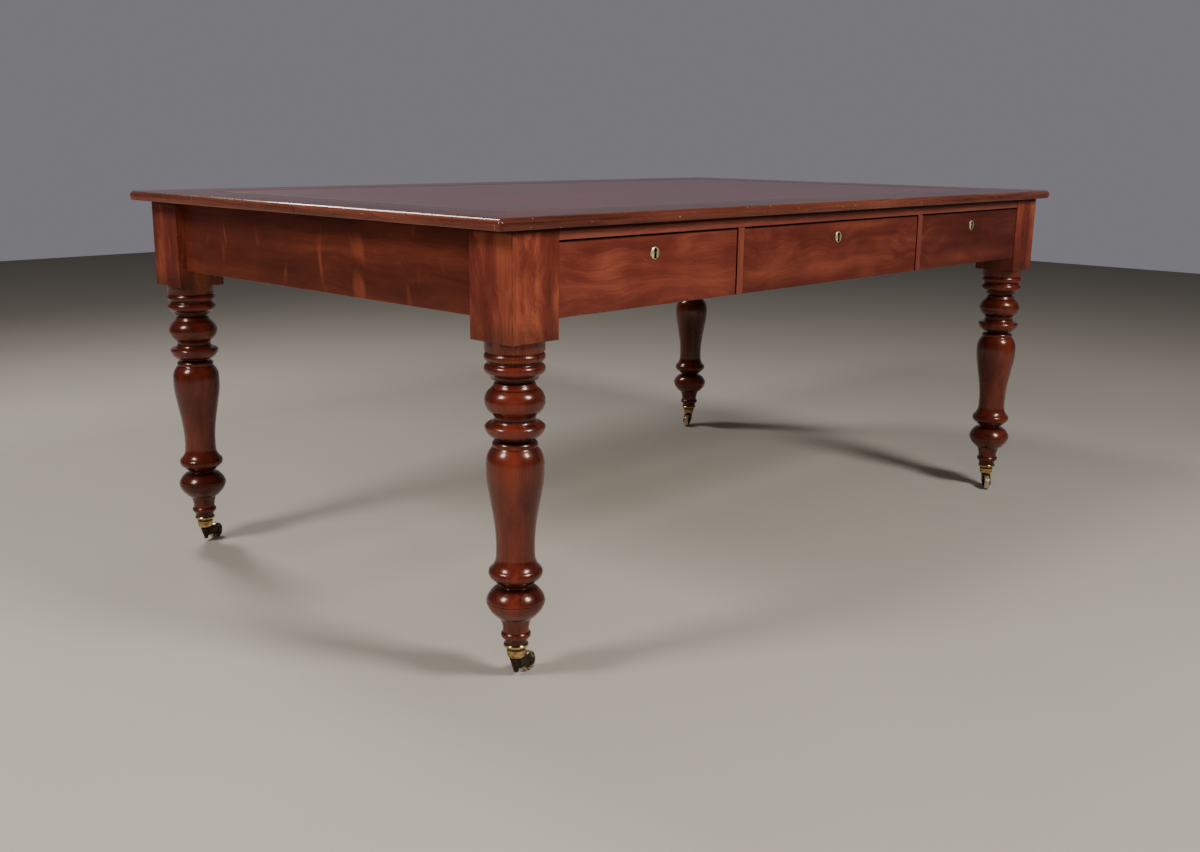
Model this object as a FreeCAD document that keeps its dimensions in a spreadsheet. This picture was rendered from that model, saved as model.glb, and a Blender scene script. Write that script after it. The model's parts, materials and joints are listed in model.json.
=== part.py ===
import FreeCAD, Part
import math
import os
import Sketcher

# Partners' writing table: six drawers, three to each long side, on four turned legs with castors.
# X runs along the table, Y across it, Z up. The origin is on the floor, under the middle of the top.

doc = FreeCAD.newDocument("PartnersDesk")
sheet = doc.addObject("Spreadsheet::Sheet", "Sizes")

SIZES = {
    # whole table
    "table_height": 757,
    "top_length": 1836,
    "top_width": 1130,
    "end_overhang": 39,
    "side_overhang": 17,
    # top
    "top_thickness": 19,
    "border_width": 125,
    "nosing_reach": 10,
    "nosing_drop": 8,
    "nosing_tuck": 3,
    "leather_thickness": 1.2,
    "leather_sink": 0.3,
    # legs
    "block_side": 98,
    "block_height": 174,
    "turning_radius": 48.5,
    # frieze
    "frieze_depth": 140.5,
    "apron_thickness": 25,
    "apron_recess": 17,
    "rail_height": 20,
    "rail_depth": 60,
    "rail_recess": 1,
    "tenon_length": 28,
    "tenon_thickness": 10,
    "tenon_shoulder": 12,
    "tenon_end_room": 1,
    "divider_width": 18.5,
    "side_opening": 453,
    "partition_thickness": 18,
    "runner_thickness": 12,
    "runner_ledge": 18,
    "guide_height": 40,
    # drawers
    "front_thickness": 22,
    "front_recess": 2.5,
    "front_side_gap": 1.5,
    "front_top_gap": 2.2,
    "drawer_wall": 11,
    "drawer_play": 1.5,
    "drawer_headroom": 2,
    "back_drop": 8,
    "bottom_thickness": 7,
    "bottom_rise": 6,
    "running_gap": 0.3,
    # locks and escutcheons
    "keyhole_drop": 30.3,
    "keyhole_radius": 3.2,
    "keyhole_waist": 3,
    "keyhole_length": 16,
    "keyhole_flare": 5,
    "keyhole_foot_round": 1,
    "escutcheon_radius": 11.6,
    "escutcheon_edge": 0.8,
    "escutcheon_crown": 2.2,
    "lock_width": 56,
    "lock_height": 46,
    "lock_depth": 10,
    "lock_plate": 1.5,
    "lock_plate_lap": 4,
    "lock_fit": 0.2,
    # castors
    "castor_height": 59,
    "cup_height": 25,
    "cup_rim_radius": 21,
    "cup_rim_height": 4.5,
    "cup_body_radius": 16.2,
    "cup_foot_radius": 14.8,
    "cup_foot_round": 5,
    "cup_wall": 2.2,
    "cup_floor": 3,
    "foot_fit": 0.2,
    "spindle_radius": 4,
    "spindle_clearance": 0.06,
    "spindle_head_radius": 5.5,
    "spindle_head_height": 2,
    "swivel_gap": 0.3,
    "boss_radius": 10.5,
    "boss_collar": 4,
    "boss_tip_height": 6,
    "boss_tip_radius": 4.5,
    "castor_trail": 30,
    "wheel_radius": 17,
    "wheel_width": 12,
    "wheel_round": 1.8,
    "wheel_dish": 1.2,
    "wheel_hub_radius": 6.5,
    "wheel_side_gap": 0.6,
    "wheel_tread_gap": 0.9,
    "cheek_thickness": 3.2,
    "cheek_eye_radius": 7,
    "axle_radius": 2.5,
    "axle_clearance": 0.05,
    "axle_head_radius": 4,
    "axle_head_height": 1.1,
    # one overrun serves every cut that leaves the wood or brass
    "overrun": 5,
}
for row, (alias, size) in enumerate(SIZES.items(), start=1):
    sheet.set(f"A{row}", alias)
    sheet.set(f"B{row}", str(size))
    sheet.setAlias(f"B{row}", alias)
doc.recompute()

# Places that several pieces share, as expressions on the sheet
TOP_UNDERSIDE = "(Sizes.table_height - Sizes.top_thickness)"
FRIEZE_BOTTOM = f"({TOP_UNDERSIDE} - Sizes.frieze_depth)"
BLOCK_BOTTOM = f"({TOP_UNDERSIDE} - Sizes.block_height)"
HALF_BLOCK = "(Sizes.block_side / 2)"
LEG_X = f"(Sizes.top_length / 2 - Sizes.end_overhang - {HALF_BLOCK})"
LEG_Y = f"(Sizes.top_width / 2 - Sizes.side_overhang - {HALF_BLOCK})"
BLOCK_INNER_X = f"({LEG_X} - {HALF_BLOCK})"
BLOCK_INNER_Y = f"({LEG_Y} - {HALF_BLOCK})"
BLOCK_FACE_Y = f"({LEG_Y} + {HALF_BLOCK})"
APRON_OUTER_X = f"({LEG_X} + {HALF_BLOCK} - Sizes.apron_recess)"
APRON_INNER_X = f"({APRON_OUTER_X} - Sizes.apron_thickness)"
RAIL_FACE_Y = f"({BLOCK_FACE_Y} - Sizes.rail_recess)"
RAIL_BACK_Y = f"({RAIL_FACE_Y} - Sizes.rail_depth)"
RAIL_UNDERSIDE = f"({TOP_UNDERSIDE} - Sizes.rail_height)"
DIVIDER_OUTER_X = f"({BLOCK_INNER_X} - Sizes.side_opening)"
DIVIDER_INNER_X = f"({DIVIDER_OUTER_X} - Sizes.divider_width)"
HALF_PARTITION = "(Sizes.partition_thickness / 2)"
RUNNER_TOP = f"({FRIEZE_BOTTOM} + Sizes.runner_thickness)"
DRAWER_FACE_Y = f"({BLOCK_FACE_Y} - Sizes.front_recess)"
DRAWER_FRONT_BACK_Y = f"({DRAWER_FACE_Y} - Sizes.front_thickness)"
DRAWER_TOP = f"({RAIL_UNDERSIDE} - Sizes.front_top_gap)"
KEYHOLE_HEIGHT = f"({DRAWER_TOP} - Sizes.keyhole_drop)"
CUP_UNDERSIDE = "(Sizes.castor_height - Sizes.cup_height)"

END_SIDES = {"left": -1, "right": 1}
LONG_SIDES = {"front": -1, "back": 1}
OPENINGS = {
    "left": (f"(0 - ({BLOCK_INNER_X} + {DIVIDER_OUTER_X}) / 2)", "Sizes.side_opening"),
    "middle": ("0", f"(2 * {DIVIDER_INNER_X})"),
    "right": (f"(({BLOCK_INNER_X} + {DIVIDER_OUTER_X}) / 2)", "Sizes.side_opening"),
}
# Directions in which the castors trail, in degrees from +X
CASTOR_TURNS = {"front_left": 10, "back_left": 20, "front_right": -148, "back_right": -150}

subparts = []


def value(expression):
    """The number that an expression on the sheet gives."""
    return float(sheet.evalExpression(str(expression)))


def bind(thing, prop, expression):
    """Tie one property to an expression on the sheet."""
    thing.setExpression(prop, str(expression))


def seat(thing, x, y, z, turn=0):
    """Put a thing at a place tied to the sheet, turned about Z by so many degrees."""
    thing.Placement = FreeCAD.Placement(
        FreeCAD.Vector(value(x), value(y), value(z)),
        FreeCAD.Rotation(FreeCAD.Vector(0, 0, 1), turn),
    )
    bind(thing, "Placement.Base.x", x)
    bind(thing, "Placement.Base.y", y)
    bind(thing, "Placement.Base.z", z)


def keep(thing, label):
    """Name a finished sub-part and remember it."""
    thing.Label = label
    subparts.append(thing)
    return thing


def block(name, low, size, turned=False):
    """A squared piece of wood by its lowest corner and its sizes, or the same one turned half round."""
    piece = doc.addObject("Part::Box", name)
    for prop, expression in zip(("Length", "Width", "Height"), size):
        bind(piece, prop, expression)
    sign = -1 if turned else 1
    seat(piece, f"{sign} * {low[0]}", f"{sign} * {low[1]}", low[2], 180 if turned else 0)
    return piece


def group(name, pieces):
    """Separate solids of one kind that share a node."""
    holder = doc.addObject("Part::Compound", name)
    holder.Links = pieces
    return keep(holder, name)


def new_body(name, x="0", y="0", z="0", turn=0):
    """A body of its own, standing at a place tied to the sheet."""
    body = doc.addObject("PartDesign::Body", name)
    seat(body, x, y, z, turn)
    return keep(body, name)


def new_sketch(body, name, role):
    """An empty sketch on one of the body's own origin planes."""
    sketch = body.newObject("Sketcher::SketchObject", name)
    plane = next(feature for feature in body.Origin.OriginFeatures if feature.Role == role)
    sketch.AttachmentSupport = [(plane, "")]
    sketch.MapMode = "FlatFace"
    return sketch


def point_rules(geometry, corner, x, y, tag):
    """Constraints that hold one point of a sketch at a place tied to the sheet, with their expressions."""
    rules = []
    for axis, kind, expression in ((-2, "DistanceX", x), (-1, "DistanceY", y)):
        if expression == "0":
            rules.append((Sketcher.Constraint("PointOnObject", geometry, corner, axis), None, None))
        else:
            distance = Sketcher.Constraint(kind, -1, 1, geometry, corner, value(expression))
            rules.append((distance, f"{tag}_{kind[-1].lower()}", expression))
    return rules


def constrain(sketch, rules):
    """Add constraints to a sketch in one go, then name the sized ones and tie them to the sheet."""
    first = sketch.ConstraintCount
    sketch.addConstraint([rule[0] for rule in rules])
    for index, (_, tag, expression) in enumerate(rules, start=first):
        if tag:
            sketch.renameConstraint(index, tag)
            sketch.setExpression(f"Constraints.{tag}", expression)


def outline(sketch, start, moves):
    """Draw a closed outline from a start point by lines (x, y) and arcs (through x, through y, x, y)."""
    corners = [start] + [move[-2:] for move in moves]
    points = [FreeCAD.Vector(value(x), value(y), 0) for x, y in corners]
    rules = []
    joints = []
    for number, move in enumerate(moves):
        begin, end = points[number], points[number + 1]
        if len(move) == 2:
            edge = sketch.addGeometry(Part.LineSegment(begin, end))
            joints.append((edge, 1, 2))
        else:
            through = FreeCAD.Vector(value(move[0]), value(move[1]), 0)
            edge = sketch.addGeometry(Part.Arc(begin, through, end))
            mark = sketch.addGeometry(Part.Point(through), True)
            rules += point_rules(mark, 1, move[0], move[1], f"through{number}")
            rules.append((Sketcher.Constraint("PointOnObject", mark, 1, edge), None, None))
            far = sketch.getPoint(edge, 2) - begin
            near = sketch.getPoint(edge, 1) - begin
            joints.append((edge, 1, 2) if near.Length < far.Length else (edge, 2, 1))
        rules += point_rules(edge, joints[-1][2], *move[-2:], f"corner{number}")
    for number, (edge, begin_corner, _) in enumerate(joints):
        before, _, before_end = joints[number - 1]
        rules.append((Sketcher.Constraint("Coincident", before, before_end, edge, begin_corner), None, None))
    constrain(sketch, rules)


def circle(sketch, x, y, radius, tag):
    """Draw a circle with its centre and radius tied to the sheet."""
    ring = sketch.addGeometry(
        Part.Circle(FreeCAD.Vector(value(x), value(y), 0), FreeCAD.Vector(0, 0, 1), value(radius)))
    rules = point_rules(ring, 3, x, y, f"{tag}_centre")
    rules.append((Sketcher.Constraint("Radius", ring, value(radius)), f"{tag}_radius", radius))
    constrain(sketch, rules)


def revolve(body, sketch, name):
    """Turn a sketch round its own upright axis."""
    turning = body.newObject("PartDesign::Revolution", name)
    turning.Profile = sketch
    turning.ReferenceAxis = (sketch, ["V_Axis"])
    turning.Angle = 360
    return turning


def pad(body, sketch, name, length):
    """Thicken a sketch by the same amount on both sides of its plane."""
    slab = body.newObject("PartDesign::Pad", name)
    slab.Profile = sketch
    slab.SideType = "Symmetric"
    bind(slab, "Length", length)
    return slab


def pocket(body, sketch, name, length):
    """Cut a sketch away by the same amount on both sides of its plane."""
    hole = body.newObject("PartDesign::Pocket", name)
    hole.Profile = sketch
    hole.SideType = "Symmetric"
    bind(hole, "Length", length)
    return hole


def body_box(body, kind, name, low, size):
    """Add or take away a squared volume in a body."""
    box = body.newObject(f"PartDesign::{kind}Box", name)
    for prop, expression in zip(("Length", "Width", "Height"), size):
        bind(box, prop, expression)
    for axis, expression in zip("xyz", low):
        bind(box, f"Placement.Base.{axis}", expression)
    return box


# The top: four mitred boards with a thumb-moulded edge round a sunk ground and its leather

HALF_TOP_X = "(Sizes.top_length / 2)"
HALF_TOP_Y = "(Sizes.top_width / 2)"

# Where the thumb moulding's arc passes: shares of its reach and of its drop
THUMB_SHARES = (0.36, 0.29)
# How far the edge has tucked in half way down, as a share of the whole tuck
TUCK_SHARE = 0.28


def border_board(name, half_run, half_span, turn):
    """A border board along its own X axis, with the moulded edge towards -Y and both ends mitred."""
    body = new_body(name, turn=turn)
    edge = f"(0 - {half_span})"
    inner = f"({edge} + Sizes.border_width)"
    widest = "(Sizes.table_height - Sizes.nosing_drop)"
    thumb = (f"({edge} + Sizes.nosing_reach * {THUMB_SHARES[0]})",
             f"(Sizes.table_height - Sizes.nosing_drop * {THUMB_SHARES[1]})")
    section = new_sketch(body, f"{name}_section", "YZ_Plane")
    outline(section, (inner, TOP_UNDERSIDE), [
        (inner, "Sizes.table_height"),
        (f"({edge} + Sizes.nosing_reach)", "Sizes.table_height"),
        (*thumb, edge, widest),
        (f"({edge} + Sizes.nosing_tuck * {TUCK_SHARE})", f"(({widest} + {TOP_UNDERSIDE}) / 2)",
         f"({edge} + Sizes.nosing_tuck)", TOP_UNDERSIDE),
        (inner, TOP_UNDERSIDE),
    ])
    pad(body, section, f"{name}_length", f"(2 * {half_run})")
    reach = "(Sizes.border_width + Sizes.overrun)"
    for end in (-1, 1):
        inner_x = f"({end} * ({half_run} - {reach}))"
        outer_x = f"({end} * ({half_run} + Sizes.overrun))"
        waste = new_sketch(body, f"{name}_mitre_{'right' if end > 0 else 'left'}", "XY_Plane")
        outline(waste, (outer_x, f"({edge} - Sizes.overrun)"), [
            (outer_x, f"({edge} + {reach})"),
            (inner_x, f"({edge} + {reach})"),
            (outer_x, f"({edge} - Sizes.overrun)"),
        ])
        pocket(body, waste, f"{waste.Name}_cut", "(2 * (Sizes.table_height + Sizes.overrun))")
    return body


border_board("top_border_front", HALF_TOP_X, HALF_TOP_Y, 0)
border_board("top_border_right", HALF_TOP_Y, HALF_TOP_X, 90)
border_board("top_border_back", HALF_TOP_X, HALF_TOP_Y, 180)
border_board("top_border_left", HALF_TOP_Y, HALF_TOP_X, 270)

INSET_X = f"({HALF_TOP_X} - Sizes.border_width)"
INSET_Y = f"({HALF_TOP_Y} - Sizes.border_width)"
GROUND_TOP = "(Sizes.table_height - Sizes.leather_sink - Sizes.leather_thickness)"
keep(block("top_ground", (f"(0 - {INSET_X})", f"(0 - {INSET_Y})", TOP_UNDERSIDE),
           (f"(2 * {INSET_X})", f"(2 * {INSET_Y})", f"({GROUND_TOP} - {TOP_UNDERSIDE})")), "top_ground")
keep(block("leather_skiver", (f"(0 - {INSET_X})", f"(0 - {INSET_Y})", GROUND_TOP),
           (f"(2 * {INSET_X})", f"(2 * {INSET_Y})", "Sizes.leather_thickness")), "leather_skiver")


# The legs: a square block and a turned baluster in one piece of wood, mortised for apron and rail

# The turned members from the block down to the cup. Each starts at a point (height, radius) and goes
# on by lines (height, radius) and arcs (through height, through radius, height, radius), all as
# shares of the turned height above the cup and of the turning's radius
TURNING_SHARES = {
    # drum, groove, two beads and the hollow under them
    "drum": [
        (1.0, 0.994),
        (0.970, 0.994),
        (0.963, 0.928),
        (0.9495, 1.006, 0.936, 0.928),
        (0.931, 0.880, 0.926, 0.928),
        (0.912, 1.006, 0.898, 0.928),
        (0.888, 0.816, 0.879, 0.771),
    ],
    # neck, collar, ball, hollow and flange
    "ball": [
        (0.879, 0.598),
        (0.874, 0.581, 0.869, 0.598),
        (0.867, 0.670),
        (0.858, 0.705, 0.848, 0.794),
        (0.810, 1.000, 0.771, 0.794),
        (0.7545, 0.695, 0.738, 0.794),
        (0.735, 0.948, 0.727, 1.004),
        (0.709, 0.934, 0.694, 0.784),
    ],
    # neck and small bead, the vase and the ring under it
    "vase": [
        (0.694, 0.577),
        (0.686, 0.540, 0.681, 0.577),
        (0.672, 0.755, 0.662, 0.734),
        (0.6465, 0.862, 0.616, 0.961),
        (0.582, 0.973, 0.531, 0.922),
        (0.442, 0.759),
        (0.372, 0.668, 0.303, 0.660),
        (0.280, 0.707, 0.263, 0.816),
        (0.2455, 0.918, 0.228, 0.825),
        (0.216, 0.691, 0.207, 0.546),
    ],
    # neck, lower ball with its turned line, tapered foot and the ring above the cup
    "foot": [
        (0.207, 0.546),
        (0.202, 0.515, 0.197, 0.546),
        (0.195, 0.660),
        (0.177, 0.872, 0.1535, 0.998),
        (0.1515, 0.969),
        (0.1495, 0.998),
        (0.129, 0.940, 0.109, 0.784),
        (0.099, 0.691, 0.092, 0.567),
        (0.067, 0.470, 0.0436, 0.443),
        (0.0416, 0.464),
        (0.032, 0.513, 0.022, 0.464),
        (0.015, 0.404, 0.006, 0.388),
        (0.0, 0.384),
    ],
}

FOOT_RADIUS = f"(Sizes.turning_radius * {TURNING_SHARES['foot'][-1][1]})"
CUP_MOUTH_RADIUS = f"({FOOT_RADIUS} + Sizes.foot_fit)"
CUP_THROAT_RADIUS = "(Sizes.cup_body_radius - Sizes.cup_wall)"
CUP_THROAT_HEIGHT = "(Sizes.castor_height - Sizes.cup_rim_height - Sizes.cup_wall)"
CUP_WELL_RADIUS = "(Sizes.cup_foot_radius - Sizes.cup_wall)"
CUP_WELL_HEIGHT = f"({CUP_UNDERSIDE} + Sizes.cup_floor)"
SPIGOT_END_HEIGHT = f"({CUP_WELL_HEIGHT} + Sizes.swivel_gap + Sizes.spindle_head_height + Sizes.swivel_gap)"


def turned_point(height_share, radius_share):
    """A point of the turning from its two shares."""
    radius = f"(Sizes.turning_radius * {radius_share})"
    height = f"(Sizes.castor_height + ({BLOCK_BOTTOM} - Sizes.castor_height) * {height_share})"
    return radius, height


def leg(name, end, side):
    """One leg about its own axis. Its block's outer faces look to the end and the side given."""
    body = new_body(name, f"{end} * {LEG_X}", f"{side} * {LEG_Y}", "0")
    for member, steps in TURNING_SHARES.items():
        moves = []
        for step in steps:
            points = [turned_point(*step[at:at + 2]) for at in range(0, len(step), 2)]
            moves.append(tuple(coordinate for point in points for coordinate in point))
        top, bottom = moves[0][1], moves[-1][-1]
        if member == "foot":
            moves.append((f"({CUP_THROAT_RADIUS} - Sizes.foot_fit)", CUP_THROAT_HEIGHT))
            moves.append((f"({CUP_WELL_RADIUS} - Sizes.foot_fit)", SPIGOT_END_HEIGHT))
            bottom = SPIGOT_END_HEIGHT
        profile = new_sketch(body, f"{name}_{member}_profile", "XZ_Plane")
        outline(profile, ("0", top), moves + [("0", bottom), ("0", top)])
        revolve(body, profile, f"{name}_{member}_turning")
    body_box(body, "Additive", f"{name}_block",
             (f"(0 - {HALF_BLOCK})", f"(0 - {HALF_BLOCK})", BLOCK_BOTTOM),
             ("Sizes.block_side", "Sizes.block_side", "Sizes.block_height"))
    mortise_length = "(Sizes.tenon_length + Sizes.tenon_end_room + Sizes.overrun)"
    # for the end apron's tenon
    apron_middle = f"({end} * ({HALF_BLOCK} - Sizes.apron_recess - Sizes.apron_thickness / 2))"
    apron_side = f"(0 - {HALF_BLOCK} - Sizes.overrun)"
    if side < 0:
        apron_side = f"({HALF_BLOCK} + Sizes.overrun - {mortise_length})"
    body_box(body, "Subtractive", f"{name}_apron_mortise",
             (f"({apron_middle} - Sizes.tenon_thickness / 2)", apron_side,
              f"({FRIEZE_BOTTOM} + Sizes.tenon_shoulder)"),
             ("Sizes.tenon_thickness", mortise_length, "(Sizes.frieze_depth - 2 * Sizes.tenon_shoulder)"))
    # for the top rail's tenon
    rail_outer = f"({HALF_BLOCK} - Sizes.rail_recess - Sizes.tenon_shoulder)"
    tenon_width = "(Sizes.rail_depth - 2 * Sizes.tenon_shoulder)"
    rail_low_y = f"(0 - {rail_outer})" if side < 0 else f"({rail_outer} - {tenon_width})"
    rail_low_x = f"(0 - {HALF_BLOCK} - Sizes.overrun)"
    if end < 0:
        rail_low_x = f"({HALF_BLOCK} + Sizes.overrun - {mortise_length})"
    body_box(body, "Subtractive", f"{name}_rail_mortise",
             (rail_low_x, rail_low_y,
              f"({TOP_UNDERSIDE} - Sizes.rail_height / 2 - Sizes.tenon_thickness / 2)"),
             (mortise_length, tenon_width, "Sizes.tenon_thickness"))
    return body


for side_name, side in LONG_SIDES.items():
    for end_name, end in END_SIDES.items():
        leg(f"leg_{side_name}_{end_name}", end, side)


# The frieze: end aprons and top rails tenoned into the legs, dividers, partition and drawer guides

for end_name, end in END_SIDES.items():
    turned = end > 0
    apron_board = block(f"apron_board_{end_name}",
                        (f"(0 - {APRON_OUTER_X})", f"(0 - {BLOCK_INNER_Y})", FRIEZE_BOTTOM),
                        ("Sizes.apron_thickness", f"(2 * {BLOCK_INNER_Y})", "Sizes.frieze_depth"), turned)
    apron_tenon = block(f"apron_tenon_{end_name}",
                        (f"(0 - {APRON_OUTER_X} + (Sizes.apron_thickness - Sizes.tenon_thickness) / 2)",
                         f"(0 - {BLOCK_INNER_Y} - Sizes.tenon_length)",
                         f"({FRIEZE_BOTTOM} + Sizes.tenon_shoulder)"),
                        ("Sizes.tenon_thickness", f"(2 * ({BLOCK_INNER_Y} + Sizes.tenon_length))",
                         "(Sizes.frieze_depth - 2 * Sizes.tenon_shoulder)"), turned)
    apron = doc.addObject("Part::Fuse", f"end_apron_{end_name}")
    apron.Base = apron_board
    apron.Tool = apron_tenon
    keep(apron, f"end_apron_{end_name}")

for side_name, side in LONG_SIDES.items():
    turned = side > 0
    rail_board = block(f"rail_board_{side_name}",
                       (f"(0 - {BLOCK_INNER_X})", f"(0 - {RAIL_FACE_Y})", RAIL_UNDERSIDE),
                       (f"(2 * {BLOCK_INNER_X})", "Sizes.rail_depth", "Sizes.rail_height"), turned)
    rail_tenon = block(f"rail_tenon_{side_name}",
                       (f"(0 - {BLOCK_INNER_X} - Sizes.tenon_length)",
                        f"(0 - {RAIL_FACE_Y} + Sizes.tenon_shoulder)",
                        f"({TOP_UNDERSIDE} - Sizes.rail_height / 2 - Sizes.tenon_thickness / 2)"),
                       (f"(2 * ({BLOCK_INNER_X} + Sizes.tenon_length))",
                        "(Sizes.rail_depth - 2 * Sizes.tenon_shoulder)", "Sizes.tenon_thickness"), turned)
    rail = doc.addObject("Part::Fuse", f"top_rail_{side_name}")
    rail.Base = rail_board
    rail.Tool = rail_tenon
    keep(rail, f"top_rail_{side_name}")
    group(f"drawer_dividers_{side_name}", [
        block(f"divider_{side_name}_{number}", (low_x, f"(0 - {RAIL_FACE_Y})", FRIEZE_BOTTOM),
              ("Sizes.divider_width", "Sizes.rail_depth", f"({RAIL_UNDERSIDE} - {FRIEZE_BOTTOM})"), turned)
        for number, low_x in enumerate((f"(0 - {DIVIDER_OUTER_X})", DIVIDER_INNER_X), start=1)
    ])

keep(block("centre_partition",
           (f"(0 - {APRON_INNER_X})", f"(0 - {HALF_PARTITION})", FRIEZE_BOTTOM),
           (f"(2 * {APRON_INNER_X})", "Sizes.partition_thickness", "Sizes.frieze_depth")), "centre_partition")


def strips(name, ledge, low_z, height):
    """Eight strips that run back to the partition, behind each divider and beside each leg block."""
    pieces = []
    for side_name, side in LONG_SIDES.items():
        turned = side > 0
        for place, divider_low in (("one", f"(0 - {DIVIDER_OUTER_X})"), ("two", DIVIDER_INNER_X)):
            pieces.append(block(
                f"{name}_{side_name}_{place}",
                (f"({divider_low} - {ledge})", f"(0 - {RAIL_BACK_Y})", low_z),
                (f"(Sizes.divider_width + 2 * {ledge})", f"({RAIL_BACK_Y} - {HALF_PARTITION})", height),
                turned))
        end_width = f"({APRON_INNER_X} - {BLOCK_INNER_X} + {ledge})"
        for place, end_low in (("left", f"(0 - {APRON_INNER_X})"), ("right", f"({BLOCK_INNER_X} - {ledge})")):
            pieces.append(block(
                f"{name}_{side_name}_{place}",
                (end_low, f"(0 - {BLOCK_INNER_Y})", low_z),
                (end_width, f"({BLOCK_INNER_Y} - {HALF_PARTITION})", height), turned))
    return group(name, pieces)


strips("drawer_runners", "Sizes.runner_ledge", FRIEZE_BOTTOM, "Sizes.runner_thickness")
strips("drawer_guides", "0", RUNNER_TOP, "Sizes.guide_height")
strips("drawer_kickers", "Sizes.runner_ledge", RAIL_UNDERSIDE, "Sizes.rail_height")


# The drawers: face with lock and escutcheon, and a box of two sides, a back and a bottom

def keyhole(sketch, centre_z):
    """A keyhole's outline: round above, narrow at the waist and wider again at its foot."""
    round_z = f"({centre_z} + Sizes.keyhole_length / 2 - Sizes.keyhole_radius)"
    half_waist = "(Sizes.keyhole_waist / 2)"
    waist_z = f"({round_z} - sqrt(Sizes.keyhole_radius ^ 2 - {half_waist} ^ 2))"
    half_flare = "(Sizes.keyhole_flare / 2)"
    foot_z = f"({centre_z} - Sizes.keyhole_length / 2)"
    corner_z = f"({foot_z} + Sizes.keyhole_foot_round)"
    outline(sketch, (f"(0 - {half_waist})", waist_z), [
        ("0", f"({round_z} + Sizes.keyhole_radius)", half_waist, waist_z),
        (half_flare, corner_z),
        ("0", foot_z, f"(0 - {half_flare})", corner_z),
        (f"(0 - {half_waist})", waist_z),
    ])


# How far a shallow dome has risen half way from its edge to its middle, as a share of its rise
DOME_SHARE = 0.75


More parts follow.
